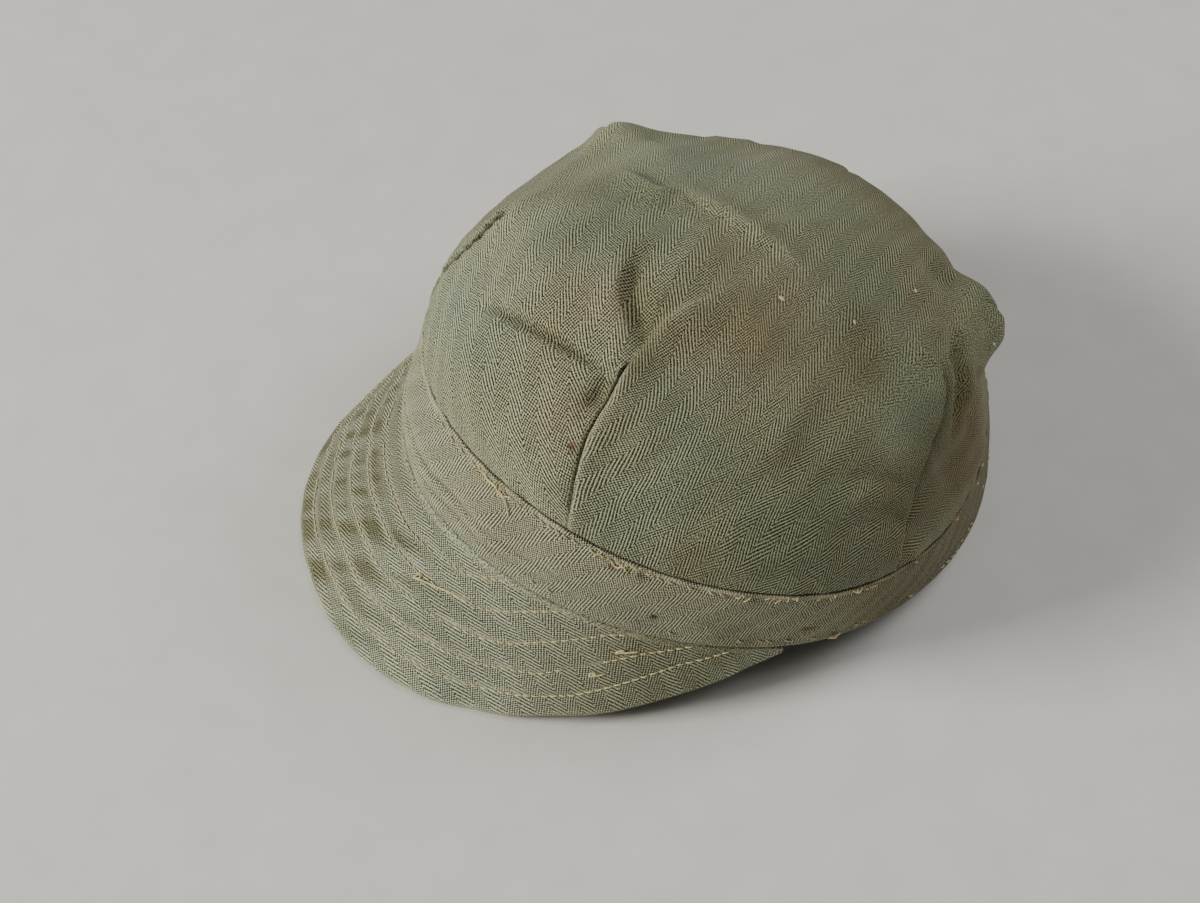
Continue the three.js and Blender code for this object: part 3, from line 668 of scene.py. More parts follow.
def buildBand(form, wear):
    n = form["columns"]
    azimuth = np.arange(n) * 360 / n
    shares = np.concatenate(form["faceShares"])
    azGrid, shareGrid = np.meshgrid(azimuth, shares)
    face = bandFace(azGrid, shareGrid)
    low, high, _, out = bandFrame(azimuth)
    innerShares = np.linspace(1, 0, form["innerRows"])
    innerOut = frontPuff(azimuth) * smooth(innerShares / form["puffFade"])[:, None] - form["wall"]
    innerFace = low[None] + (high - low)[None] * innerShares[:, None, None]
    innerFace = innerFace + out[None] * innerOut[..., None]
    # mating edges stay in the planes of rim and seam
    for rows, atRim, atSeam in ((face, 0, -1), (innerFace, -1, 0)):
        rows[atRim, :, 2] = rimPlaneZ(rows[atRim, :, 1])
        rows[atSeam, :, 2] = seamPlaneZ(rows[atSeam, :, 1]) - form["clearance"]
    face[..., 2] = np.maximum(face[..., 2], 0)
    place = np.concatenate([face, innerFace])
    count, faceRows = len(place), len(shares)

    # faces run round the loop and close over the edges; the cloth is cut on the cross
    r, c = (q.ravel() for q in np.meshgrid(np.arange(count), np.arange(n), indexing="ij"))
    quadR = np.stack([r, r, (r + 1) % count, (r + 1) % count], 1)
    quadC = np.stack([c, c + 1, c + 1, c], 1)
    faces = quadR * n + quadC % n
    around = pathLength(np.vstack([low, low[:1]]))
    innerClimb = form["height"] + np.linspace(2, 33, form["innerRows"])
    climb = np.concatenate([shares * form["height"], innerClimb, innerClimb[-1:] + 2])
    quadUp = np.stack([climb[r], climb[r], climb[r + 1], climb[r + 1]], 1)
    uv = turnFlat(np.stack([around[quadC], quadUp], -1), 90 - form["bias"])

    outside = (np.arange(count) < faceRows)[:, None]
    rise = np.append(shares, np.full(form["innerRows"], 2.0))[:, None] * np.ones((1, n))
    wearAndHighlight = sum(strength * bell(rise - at, width) for at, strength, width in wear["rubbed"])
    wearAndHighlight = wearAndHighlight * np.clip(0.55 + 0.5 * ripple(place, wear["rubLength"], 33), 0, 1.2)
    # painted highlights on the crests of the soft rolls
    rolls = np.where(outside, bandRolls(azimuth[None], rise * form["height"]), 0)
    wearAndHighlight = wearAndHighlight + wear["rollHighlight"] * np.maximum(0, rolls)
    # painted shade along the top edge under the crown and in the groove under the hem
    dark = wear["seamLineShade"][0] * bell(rise - 1.0, wear["seamLineShade"][1])
    dark = dark + wear["hemShade"][0] * bell(rise * form["height"] - wear["hemLine"], wear["hemShade"][1])
    rust = np.zeros(rise.shape)
    for az, level, size, strength in wear["spots"]:
        spot = bandFace(np.array([az]), np.array([level]))[0]
        rust = np.maximum(rust, strength * nearSpot(place, spot, size))
    az, level, size = wear["hole"]
    hole = nearSpot(place, bandFace(np.array([az]), np.array([level]))[0], size)
    place[:faceRows] -= out[None] * hole[:faceRows, :, None] * wear["holeDeep"]
    # painted shade inside the worn hole
    dark = np.maximum(dark, np.clip(wear["holeShade"] * hole, 0, 1))
    # painted shade over the sides and the inside, and in the valleys of the rolls; the stain is darker and
    # browner
    sides = change(azimuth, wear["sideShadeFrom"]) - change(azimuth, wear["sideShadeTo"])
    stained = np.where(outside, change(azimuth, wear["stainFrom"]) - change(azimuth, wear["stainTo"]), 0)
    bandShadeAndStain = np.where(outside, wear["sideShade"][0] + wear["sideShade"][1] * sides, wear["inside"])
    bandShadeAndStain = bandShadeAndStain + wear["rollShade"] * np.maximum(0, -rolls) + wear["stain"][0] * stained
    values = {"sewnDark": dark, "rubbed": wearAndHighlight, "rust": rust, "shadeAndGrime": np.clip(bandShadeAndStain, 0, 1),
              "brown": wear["stain"][1] * stained}
    return makeMesh("band_cloth", place.reshape(-1, 3), faces.tolist(), uv.reshape(-1, 2), values)


# the visor: stitched layers, quilted by its rows of sewing
visorCloth = {
    "halfWidth": 85.5, "length": 112.0, "centreY": -16.5, "exponent": 2.21, "edgeHeight": 1.5,
    "endRise": 12.0, "endFrom": 40.0, "endAngle": 93.2, "endDepth": 3.2, "endOut": 0.9, "reach": 84.5,
    "endBulge": 1.0, "bulgeFrom": (50, 15), "bulgeTo": (78, 7), "besideFrom": 60,
    "tuck": 4.0, "rootOut": 0.4, "held": 0.8, "wall": 2.9, "arch": 2.4, "fillet": 1.6, "clearance": 0.05,
    "columns": 320, "rows": 84, "underStep": 4,
    "stitchRows": [8.2, 16.0, 24.4, 32.8, 40.4],
    "turnFrom": 63.4, "turnEarlier": 0.9, "turnIn": 0.6, "turnMost": 7.5,
    "channel": 0.36, "channelWide": 1.25, "pucker": 0.55, "puckerLie": 40.0, "puckerSpan": (-190, 60),
    "grow": 1.9, "growAt": (24, 42), "farShrink": 1.8, "farAt": (-54, 16),
    "edgeWave": 0.25, "edgeRoll": (1.3, 1.6),
    "sag": 0.3, "flatRadius": 90, "flatTurn": 0.54, "grain": -6.0,
}


def visorEdge(azimuth):
    form = visorCloth
    angle = azimuth * form["endAngle"] / form["reach"]
    away = np.abs(azimuth)
    s, c = outline(angle, form["exponent"])
    rising = np.maximum(0, (np.abs(angle) - form["endFrom"]) / (90 - form["endFrom"]))
    y = form["centreY"] - form["length"] * c
    beside = np.where(away > form["besideFrom"], np.abs(rimPoint(azimuth)[..., 0]) + form["endOut"], 0)
    bulge = form["endBulge"] * change(away, form["bulgeFrom"]) * (1 - change(away, form["bulgeTo"]))
    x = np.sign(s) * (np.maximum(form["halfWidth"] * np.abs(s), beside) + bulge)
    z = np.minimum(form["edgeHeight"] + form["endRise"] * rising**2, rimPlaneZ(y) - form["endDepth"])
    return np.stack([x, y, z], -1)


def visorBase(azimuth, share):
    form = visorCloth
    root = rimPoint(azimuth, -form["rootOut"])
    root[..., 2] -= form["clearance"] / math.cos(math.atan2(rim["frontLift"], 2 * rim["halfLength"]))
    edge = visorEdge(azimuth)
    # the near half is pulled out a little, the far half is drawn in
    grow = form["grow"] * bell(azimuth - form["growAt"][0], form["growAt"][1])
    grow = grow - form["farShrink"] * bell(azimuth - form["farAt"][0], form["farAt"][1])
    grow = grow + form["edgeWave"] * ripple(edge, 15, 45) * smooth((70 - np.abs(azimuth)) / 25)
    edge[..., 0] += grow * np.sin(np.radians(azimuth))
    edge[..., 1] -= grow * np.cos(np.radians(azimuth))
    place = root + (edge - root) * share[..., None]
    place[..., 2] += form["arch"] * 4 * share * (1 - share) * np.cos(np.radians(azimuth))
    return place, np.linalg.norm(edge - root, axis=-1)


def rowInset(row, azimuth):
    # towards the visor's ends each row of sewing turns in from the edge to meet the band
    turnFrom = visorCloth["turnFrom"] - visorCloth["turnEarlier"] * row
    return row + np.clip(visorCloth["turnIn"] * (np.abs(azimuth) - turnFrom), 0, visorCloth["turnMost"])


def visorTop(azimuth, share, turn=0.2, step=0.01):
    # upper face of the visor, its normals, how deep the sewing is sunk, the way to the edge and the hollows
    form = visorCloth
    place, depth = visorBase(azimuth, share)
    across = visorBase(azimuth + turn, share)[0] - visorBase(azimuth - turn, share)[0]
    ahead = np.minimum(share + step, 1.0)
    along = visorBase(azimuth, ahead)[0] - visorBase(azimuth, ahead - 2 * step)[0]
    normal = unit(np.cross(along, across))
    toEdge = (1 - share) * depth
    rows = [rowInset(d, azimuth) for d in form["stitchRows"]]
    sunk = sum(bell(toEdge - row, form["channelWide"]) for row in rows)
    between = 1 - np.clip(sunk, 0, 1)
    lie = math.radians(form["puckerLie"])
    beside = place[..., 1] * math.cos(lie) - place[..., 0] * math.sin(lie)
    pucker = np.zeros_like(toEdge)
    firstPlace, pastRoot = form["puckerSpan"]
    edges = [0 * azimuth] + rows + [0 * azimuth + pastRoot]
    rng = np.random.default_rng(77)
    places = firstPlace + np.cumsum(rng.uniform(3.4, 6.8, 56))
    for low, high in zip(edges[:-1], edges[1:]):
        # each strip between two rows of sewing is roped: slanting hollows, shifted from strip to strip
        inside = smooth((toEdge - low) / 2.0) * smooth((high - toEdge) / 2.0)
        for at in places + rng.uniform(-1.6, 1.6, len(places)):
            width, deep = rng.uniform(1.3, 2.6), rng.uniform(0.25, 0.95)
            pucker += inside * deep * bell(beside - at, width)
    # the far front is puckered most, and the strip beside the band least
    front = (0.16 + 0.84 * smooth((44 - azimuth) / 46)) * (0.4 + 0.6 * smooth((azimuth + 48) / 26))
    hollows = pucker * between * front * (1 - 0.85 * smooth((toEdge - 35) / 6))
    rollHigh, rollWide = form["edgeRoll"]
    height = -form["channel"] * sunk - form["pucker"] * hollows * smooth(toEdge / 3)
    height = height - rollHigh * np.clip(1 - toEdge / rollWide, 0, 1) ** 2
    height = height * smooth(share / 0.03) + form["sag"] * ripple(place, 32, 41) * smooth(share / 0.1)
    return place + normal * height[..., None], normal, sunk, toEdge, hollows


def visorFillet(azimuth, share):
    # over the forehead the cloth climbs the band in a soft curve, so no edge shows between the two
    size = visorCloth["fillet"]
    run = np.minimum(share * visorBase(azimuth, share)[1], size)
    rise = (size - np.sqrt(size**2 - (size - run) ** 2)) * smooth((44 - np.abs(azimuth)) / 24)
    return rise[..., None] * bandFrame(azimuth)[2]


def buildVisor(form):
    azimuth = np.linspace(-form["reach"], form["reach"], form["columns"])
    shares = np.linspace(0, 1, form["rows"])
    azGrid, shareGrid = np.meshgrid(azimuth, shares)
    top, normal, sunk, toEdge, hollows = visorTop(azGrid, shareGrid)
    under = top - normal * form["wall"]
    under[..., 2] = np.minimum(under[..., 2], top[..., 2])
    top = top + visorFillet(azGrid, shareGrid)
    belowRim = [0, 0, form["clearance"] * 1.05]
    tucked, held = (rimPoint(azimuth, form[key]) - belowRim for key in ("tuck", "held"))
    outward = np.stack([np.sin(np.radians(azimuth)), -np.cos(np.radians(azimuth)), 0 * azimuth], -1)
    edgeMid = (top[-1] + under[-1]) / 2 + outward * 0.7
    back = slice(None, None, -form["underStep"])
    tuckedUnder = tucked - [0, 0, form["wall"]]
    loop = np.vstack([tucked[None], held[None], top, edgeMid[None], under[back], tuckedUnder[None]])
    loop[..., 2] = np.maximum(loop[..., 2], 0.0)
    count, n = loop.shape[:2]
    r, c = (q.ravel() for q in np.meshgrid(np.arange(count), np.arange(n - 1), indexing="ij"))
    up = (r + 1) % count
    faces = np.stack([r * n + c, up * n + c, up * n + c + 1, r * n + c + 1], 1).tolist()
    faces += [[i * n for i in range(count)][::-1], [i * n + n - 1 for i in range(count)]]

    # laid flat the visor is a slice of a ring; its columns run from side to side
    depth = visorBase(azimuth, 0 * azimuth)[1]
    run = depth * shares[:, None]
    tuckRun = np.full((1, n), -form["tuck"])
    runs = [tuckRun, 0 * tuckRun - form["held"], run, depth[None] + 1.5, run[back], tuckRun]
    radius = form["flatRadius"] / form["flatTurn"] + np.vstack(runs)
    flat = flatPolar(radius, form["flatTurn"] * azimuth + 0 * radius)
    flat = turnFlat(flat, 90 - form["grain"]).reshape(-1, 2)
    uv = np.array([flat[i] for f in faces for i in f])

    # the edge and the sewing are rubbed pale; the hollows and the far side are darker, the near end carries
    # a painted shadow of the band, and painted shade lies in the sewn channels, at the root and under the
    # visor
    face = slice(2, form["rows"] + 2)
    dark, rub, shadeAndGrime, felted = (np.zeros((count, n)) for _ in range(4))
    besideRows = (bell(toEdge - rowInset(d, azGrid) - 0.3, 0.8) for d in form["stitchRows"])
    wearAndHighlight = 0.9 * bell(toEdge, 1.8) + sum(besideRows)
    rub[face] = wearAndHighlight * np.clip(0.6 + 0.45 * ripple(top, 16, 43), 0, 1.2)
    rootShade = 0.2 * np.exp(-shareGrid / 0.02) * smooth((np.abs(azGrid) - 30) / 14)
    # painted shade sunk in the sewn channels and at the root beside the band
    dark[face] = 0.04 * sunk**2 + rootShade
    # painted shade over the underside
    dark[form["rows"] + 3:] = 0.2
    # painted shadow of the band over the visor's near end
    bandShadow = smooth((azGrid - 44) / 18) * (1 - 0.7 * smooth((azGrid - 73) / 7))
    inHollows = np.clip(hollows - 0.05, 0, 0.7) * smooth(toEdge / 3)
    shadeAndGrime[face] = inHollows + 0.56 * bandShadow + 0.34 * smooth((20 - azGrid) / 20)
    felted[:2] = 1
    felted[face] = 1 - smooth((run - form["fillet"] / 2) / form["fillet"])
    values = {"sewnDark": dark, "rubbed": rub, "shadeAndGrime": shadeAndGrime, "felted": felted}
    return makeMesh("visor_cloth", loop.reshape(-1, 3), faces, uv, values)


# sewing thread: each stitch is a short, slightly slanted tube that dips into the cloth at both ends
visorThread = {"length": 2.4, "gap": 0.32, "thick": 0.18, "rise": 0.22, "slant": 0.14,
               "rowGap": (1, 52, 56.5)}
seamThread = {"length": 2.1, "gap": 0.7, "thick": 0.27, "rise": 0.25, "slant": 0.35,
              "below": 1.9, "hemUp": 4.8}


def threadMesh(name, runs, radius, sides=6, endTaper=0.55):
    # runs: list of (points, normals, thickness); gives one mesh of closed tubes
    points, faces = [], []
    for run, normals, thick in runs:
        start, k = len(points), len(run)
        along = unit(np.gradient(run, axis=0))
        side = unit(np.cross(along, normals))
        lift = unit(np.cross(side, along))
        taper = np.ones(k)
        taper[[0, -1]] = endTaper
        for i in range(k):
            for j in range(sides):
                a = 2 * math.pi * j / sides
                away = math.cos(a) * side[i] + math.sin(a) * lift[i]
                points.append(run[i] + thick * radius * taper[i] * away)
        for i in range(k - 1):
            for j in range(sides):
                a, b = start + i * sides + j, start + i * sides + (j + 1) % sides
                faces.append((a, b, b + sides, a + sides))
        faces.append(tuple(start + j for j in range(sides))[::-1])
        faces.append(tuple(start + (k - 1) * sides + j for j in range(sides)))
    print(name + ":", len(runs), "lengths of thread")
    return makeMesh(name, np.array(points), faces)


def along3(t, knots, rows):
    return np.stack([np.interp(t, knots, rows[:, k]) for k in range(3)], -1)


def stitchRuns(path, normals, form, rng, missing):
    # lays stitches along a dense path of points; missing is the share that has worn away at each point
    length = pathLength(path)
    t = np.linspace(-1, 1, 6)
    runs, at = [], rng.uniform(0, 1)
    while at + form["length"] < length[-1]:
        size = form["length"] * rng.uniform(0.88, 1.1)
        if rng.uniform() >= np.interp(at, length, missing):
            s = np.linspace(at, min(at + size, length[-1]), len(t))
            p, n = along3(s, length, path), unit(along3(s, length, normals))
            across = unit(np.cross(np.gradient(p, axis=0), n))
            lift = form["rise"] + form["thick"] * 0.9 - 0.5 * np.abs(t) ** 3.5
            p = p + n * lift[:, None] + across * (t * form["slant"] * rng.uniform(0.6, 1.2))[:, None]
            runs.append((p, n, rng.uniform(0.85, 1.12)))
        at += size + form["gap"] * rng.uniform(0.6, 1.4)
    return runs


def buildVisorStitches(form):
    rng = np.random.default_rng(101)
    runs = []
    dense = np.linspace(-visorCloth["reach"], visorCloth["reach"], 1400)
    depth = visorBase(dense, np.zeros_like(dense))[1]
    gapRow, gapFrom, gapTo = form["rowGap"]
    for k, d in enumerate(visorCloth["stitchRows"]):
        wobble = 0.35 * np.sin(dense / 11 + k) + 0.2 * np.sin(dense / 4.3 + 2 * k)
        share = 1 - (rowInset(d, dense) + wobble) / depth
        ok = share > 0.012
        if k == gapRow:
            ok &= ~((dense > gapFrom) & (dense < gapTo))  # a few stitches of this row are gone
        az, share = dense[ok], share[ok]
        breaks = np.nonzero(np.diff(az) > 0.5)[0] + 1
        for part in np.split(np.arange(len(az)), breaks):
            if len(part) < 20:
                continue
            p, n = visorTop(az[part], share[part])[:2]
            p = p + visorFillet(az[part], share[part])
            missing = 0.01 + 0.3 * smooth((8 - az[part]) / 24)  # more are worn away on the far side
            runs += stitchRuns(p, n, form, rng, missing)
    return threadMesh("visor_stitches", runs, form["thick"])


def buildBandStitches(form):
    rng = np.random.default_rng(202)
    az = np.linspace(0, 360, 2400)
    low, high, _, out = bandFrame(az)
    height = np.linalg.norm(high - low, axis=-1)
    nearFront = smooth(az / 8) * (1 - smooth((az - 62) / 14))
    forehead = np.exp(-((fromAzimuth(az, 0) / 38) ** 4))
    upperRow = (height - form["below"], 0.88 - 0.5 * nearFront)
    hemRow = (0 * height + form["hemUp"], 0.62 + 0.38 * forehead)
    runs = []
    for rise, missing in (upperRow, hemRow):
        runs += stitchRuns(bandFace(az, rise / height), out, form, rng, missing)
    return threadMesh("band_stitches", runs, form["thick"])


# loose ends: frayed threads on the seam and visor, and knots where the sewing was restarted
looseEnds = {
    "thread": 0.2, "visorThread": 0.27, "fibre": 0.09,
    # paths of (azimuth, share of the band)
    "bandThreads": [
        [(20.4, 1.0), (21.2, 0.955), (23.2, 0.945), (25.0, 0.93), (26.8, 0.9), (28.2, 0.82), (28.9, 0.75)],
        [(21.0, 0.985), (22.4, 0.93), (24.0, 0.965), (25.8, 0.9), (27.6, 0.94)],
        [(94.4, 0.985), (95.4, 0.975), (96.6, 0.99)],
        [(48.2, 0.93), (49.6, 0.9), (50.6, 0.93), (51.4, 0.89)],
        [(94.0, 0.07), (94.8, 0.09), (95.6, 0.08), (96.4, 0.12)],
        [(94.3, 0.1), (95.2, 0.08), (95.9, 0.11), (96.6, 0.1)],
    ],
    # paths of (azimuth, distance from the visor's edge)
    "visorThreads": [
        [(19.4, 30.0), (20.6, 31.2), (20.0, 32.0), (19.8, 30.4), (21.2, 31.0), (24.2, 32.2), (27.0, 33.0),
         (29.5, 32.7)],
        [(56.2, 15.2), (56.9, 16.4), (56.0, 16.8), (56.6, 15.6), (58.2, 16.0)],
        [(57.4, 24.2), (58.2, 25.6), (57.2, 25.0), (58.6, 24.6), (60.5, 24.6)],
    ],
    "frays": [(18, 31, 34), (44, 58, 26), (70, 100, 22), (0, 18, 10)],  # from and to azimuth, how many
}
# tufts of lint caught on the crown, at (azimuth, share)
crownLint = {"fibre": 0.11, "spread": 0.32, "fibres": 5, "standOff": 0.5,
             "spots": [(154.0, 0.642), (128.0, 0.683), (152.0, 0.454), (110.0, 0.78)]}


def curveRun(anchors, normals, lift, rng, count=26):
    # a loose thread: a smooth line through its anchors, standing a little off the cloth
    knots = np.linspace(0, 1, len(anchors))
    slopes = np.gradient(anchors, knots, axis=0)
    t = np.linspace(0, 1, count)
    p = np.stack([hermite(knots, anchors[:, k], slopes[:, k], t) for k in range(3)], -1)
    n = unit(along3(t, knots, normals))
    off = lift * (0.35 + np.sin(np.pi * t) * rng.uniform(0.6, 1.2))
    return p + n * off[:, None], n


def buildLooseEnds(form):
    rng = np.random.default_rng(303)
    runs = []
    for path in form["bandThreads"]:
        az, level = np.array(path).T
        runs.append((*curveRun(bandFace(az, level), bandFrame(az)[3], 0.7, rng), form["thread"]))
    for path in form["visorThreads"]:
        az, inward = np.array(path).T
        place, n = visorTop(az, 1 - inward / visorBase(az, 0 * az)[1])[:2]
        runs.append((*curveRun(place, n, 0.6, rng), form["visorThread"]))
    for low, high, count in form["frays"]:
        for _ in range(count):
            az = rng.uniform(low, high) + np.array([0, 0.5, 1.0]) * rng.uniform(-1.2, 1.2)
            level = rng.uniform(0.95, 1.0) + np.array([0, -0.03, -0.06]) * rng.uniform(-0.3, 1.4)
            cloth = bandFace(az, np.clip(level, 0, 1))
            p, n = curveRun(cloth, bandFrame(az)[3], rng.uniform(0.2, 0.7), rng, 8)
            runs.append((p, n, form["fibre"] * rng.uniform(0.8, 1.5)))
    return threadMesh("loose_threads", runs, 1.0)


def buildLint(form):
    rng = np.random.default_rng(404)
    runs = []
    for az, level in form["spots"]:
        n = crownNormal(np.array(az), np.array(level))
        spot = crownBase(az, level)
        spot = spot + n * (crownRelief(spot[None])[0][0] + form["standOff"])
        for _ in range(form["fibres"]):
            wander = rng.normal(size=(4, 3)) * form["spread"]
            wander -= (wander @ n)[:, None] * n
            runs.append((*curveRun(spot + wander, np.repeat(n[None], 4, 0), 0.3, rng, 8), form["fibre"]))
    return threadMesh("lint", runs, 1.0)


def toLinear(code):
    parts = [int(code[i:i + 2], 16) / 255 for i in (1, 3, 5)]
    return tuple(p / 12.92 if p <= 0.04045 else ((p + 0.055) / 1.055) ** 2.4 for p in parts) + (1.0,)


def addNode(tree, kind, settings=None, links=None, output=0):
    # adds a node with its settings and links, and gives back one of its outputs
    node = tree.nodes.new("ShaderNode" + kind)
    for key, value in (settings or {}).items():
        setattr(node, key, value)
    for key, value in (links or {}).items():
        if isinstance(value, bpy.types.NodeSocket):
            tree.links.new(value, node.inputs[key])
        else:
            node.inputs[key].default_value = value
    return node.outputs[output] if len(node.outputs) else None


def startMaterial(name):
    material = bpy.data.materials.new(name)
    material.use_nodes = True
    material.node_tree.nodes.clear()
    return material, material.node_tree


# herringbone cotton twill, woven and washed thin: broken columns of slanted yarn lines, pale on
# the raised yarns and dark between them, with soft stains, paler rubbed edges and painted highlights,
# and painted shade in slits, seams, creases, hollows and undersides
twillWeave = {
    "pitch": 0.88,  # yarn lines are 0.7 apart on the real cloth, drawn coarser so that they show
    "slant": 27.0,  # degrees between yarn lines and column
    "rib": 0.72,  # spacing of the dots that the lines break into
    "yarnHeight": 0.22, "bumpStrength": 0.9, "fleckBump": 0.5,
    "driftLong": 14.0, "driftFar": 1.5,  # the rows of the loom wander
    "lineDepth": 0.8, "beadDepth": 0.2, "lineLevel": 0.39,
    "dotFiner": 1.2, "dotDepth": 0.47, "dotLevel": 0.4, "feltedLevel": 0.42,
    "breakWide": 0.4, "breakDark": 0.9,
    "fleckScale": 3.0, "fleckDrawn": (1.0, 0.6, 1.0), "fleckDepth": 0.46,
    "brownPatch": 58.0, "coolPatch": 36.0, "patchApart": 7.3,
    "roughLow": 0.85, "roughHigh": 0.99, "shadeDepth": 0.9,
}
twillMarks = ("felted", "crisp", "brown", "green", "rubbed", "rust", "shadeAndGrime", "sewnDark")


def twillLines(tree, place, marks, column):
    # gives the raised yarns of the weave and the flecks of single yarns
    weave = twillWeave
    slant, pitch, rib = math.radians(weave["slant"]), weave["pitch"], weave["rib"]
    uv = addNode(tree, "UVMap", {"uv_map": "weave"})
    driftLinks = {"Vector": place, "Scale": 1 / (weave["driftLong"] * mm), "Detail": 1.0}
    drift = addNode(tree, "TexNoise", None, driftLinks, "Color")
    driftOff = addNode(tree, "VectorMath", {"operation": "SUBTRACT"}, {0: drift, 1: (0.5, 0.5, 0.5)})
    driftMm = addNode(tree, "VectorMath", {"operation": "SCALE"}, {0: driftOff, "Scale": weave["driftFar"]})
    wander = addNode(tree, "VectorMath", {"operation": "ADD"}, {0: uv, 1: driftMm})
    across, along = addNode(tree, "SeparateXYZ", None, {0: wander}).node.outputs[:2]
    zigzag = addNode(tree, "Math", {"operation": "PINGPONG"}, {0: across, 1: column})
    columnAt = addNode(tree, "Math", {"operation": "DIVIDE"}, {0: across, 1: 2 * column})
    columnFract = addNode(tree, "Math", {"operation": "FRACT"}, {0: columnAt})
    columnOdd = addNode(tree, "Math", {"operation": "GREATER_THAN"}, {0: columnFract, 1: 0.5})
    acrossPart = addNode(tree, "Math", {"operation": "MULTIPLY"}, {0: zigzag, 1: math.cos(slant) / pitch})
    alongPart = addNode(tree, "Math", {"operation": "MULTIPLY"}, {0: along, 1: math.sin(slant) / pitch})
    linePhase = addNode(tree, "Math", {"operation": "ADD"}, {0: acrossPart, 1: alongPart})
    phase = addNode(tree, "Math", {"operation": "MULTIPLY_ADD"}, {0: columnOdd, 1: 0.5, 2: linePhase})
    turns = addNode(tree, "Math", {"operation": "MULTIPLY"}, {0: phase, 1: 2 * math.pi})
    wave = addNode(tree, "Math", {"operation": "SINE"}, {0: turns})
    # the lines are crisp in every other column; in between the yarn's twist breaks them into dots
    ribTurn = 2 * math.pi / rib
    ribAcross = addNode(tree, "Math", {"operation": "MULTIPLY"}, {0: zigzag, 1: -ribTurn * math.sin(slant)})
    ribLinks = {0: along, 1: ribTurn * math.cos(slant), 2: ribAcross}
    ribTurns = addNode(tree, "Math", {"operation": "MULTIPLY_ADD"}, ribLinks)
    ribWave = addNode(tree, "Math", {"operation": "SINE"}, {0: ribTurns})
    beadLinks = {0: ribWave, 1: weave["beadDepth"], 2: weave["lineLevel"]}
    beads = addNode(tree, "Math", {"operation": "MULTIPLY_ADD"}, beadLinks)
    yarnLinks = {0: wave, 1: weave["lineDepth"], 2: beads}
    yarn = addNode(tree, "Math", {"operation": "MULTIPLY_ADD", "use_clamp": True}, yarnLinks)
    fineTurns = addNode(tree, "Math", {"operation": "MULTIPLY"}, {0: turns, 1: weave["dotFiner"]})
    fineWave = addNode(tree, "Math", {"operation": "SINE"}, {0: fineTurns})
    fineBoth = addNode(tree, "Math", {"operation": "ADD"}, {0: fineWave, 1: ribWave})
    dotLinks = {0: fineBoth, 1: weave["dotDepth"], 2: weave["dotLevel"]}
    dots = addNode(tree, "Math", {"operation": "MULTIPLY_ADD"}, dotLinks)
    dotted = addNode(tree, "Math", {"operation": "SUBTRACT"}, {0: 1.0, 1: marks["crisp"]})
    dottedHere = addNode(tree, "Math", {"operation": "MULTIPLY"}, {0: columnOdd, 1: dotted})
    lined = addNode(tree, "Mix", {"data_type": "FLOAT"}, {0: dottedHere, 2: yarn, 3: dots})
    # where the cloth has felted with washing the lines are faint
    keptLinks = {0: marks["felted"], 2: lined, 3: weave["feltedLevel"]}
    kept = addNode(tree, "Mix", {"data_type": "FLOAT"}, keptLinks)
    # the break between two columns is a thin dark line, at both ends of the zigzag
    wide, dark = weave["breakWide"], weave["breakDark"]
    breaks = []
    for low, high, darkLow, darkHigh in ((0.0, wide, dark, 1.0), (column - wide, column, 1.0, dark)):
        limits = {"From Min": low, "From Max": high, "To Min": darkLow, "To Max": darkHigh}
        soft = {"interpolation_type": "SMOOTHSTEP"}
        breaks.append(addNode(tree, "MapRange", soft, {"Value": zigzag, **limits}))
    bothBreaks = addNode(tree, "Math", {"operation": "MULTIPLY"}, {0: breaks[0], 1: breaks[1]})
    raised = addNode(tree, "Math", {"operation": "MULTIPLY"}, {0: kept, 1: bothBreaks})
    # single yarns show as flecks drawn out along the columns
    drawn = addNode(tree, "VectorMath", {"operation": "MULTIPLY"}, {0: wander, 1: weave["fleckDrawn"]})
    fleckLinks = {"Vector": drawn, "Scale": weave["fleckScale"], "Detail": 1.0, "Roughness": 0.6}
    return raised, addNode(tree, "TexNoise", {"noise_dimensions": "2D"}, fleckLinks)


def twillPatches(tree, place, marks, patchSeed):
    # washed-out patches: brown where it is stained, cooler where the green has stayed
    weave = twillWeave
    noises, masks = [], []
    patches = (
        (patchSeed, weave["brownPatch"], 0.55, 0.46, 0.4),
        (patchSeed + weave["patchApart"], weave["coolPatch"], 0.6, 0.48, 0.45),
    )
    for seed, size, roughness, start, most in patches:
        noiseLinks = {"Vector": place, "W": seed, "Scale": 1 / (size * mm), "Roughness": roughness}
        noiseLinks["Detail"] = 3.0
        noise = addNode(tree, "TexNoise", {"noise_dimensions": "4D"}, noiseLinks)
        maskLinks = {"Value": noise, "From Min": start, "From Max": 0.7, "To Max": most}
        noises.append(noise)
        masks.append(addNode(tree, "MapRange", {"interpolation_type": "SMOOTHSTEP"}, maskLinks))
    brokenLinks = {"Value": noises[0], "From Min": 0.3, "From Max": 0.6, "To Min": 0.45, "To Max": 1.1}
    broken = addNode(tree, "MapRange", None, brokenLinks)
    brownLinks = {0: marks["brown"], 1: broken, 2: masks[0]}
    brown = addNode(tree, "Math", {"operation": "MULTIPLY_ADD", "use_clamp": True}, brownLinks)
    cool = addNode(tree, "Math", {"operation": "ADD", "use_clamp": True}, {0: marks["green"], 1: masks[1]})
    return brown, cool


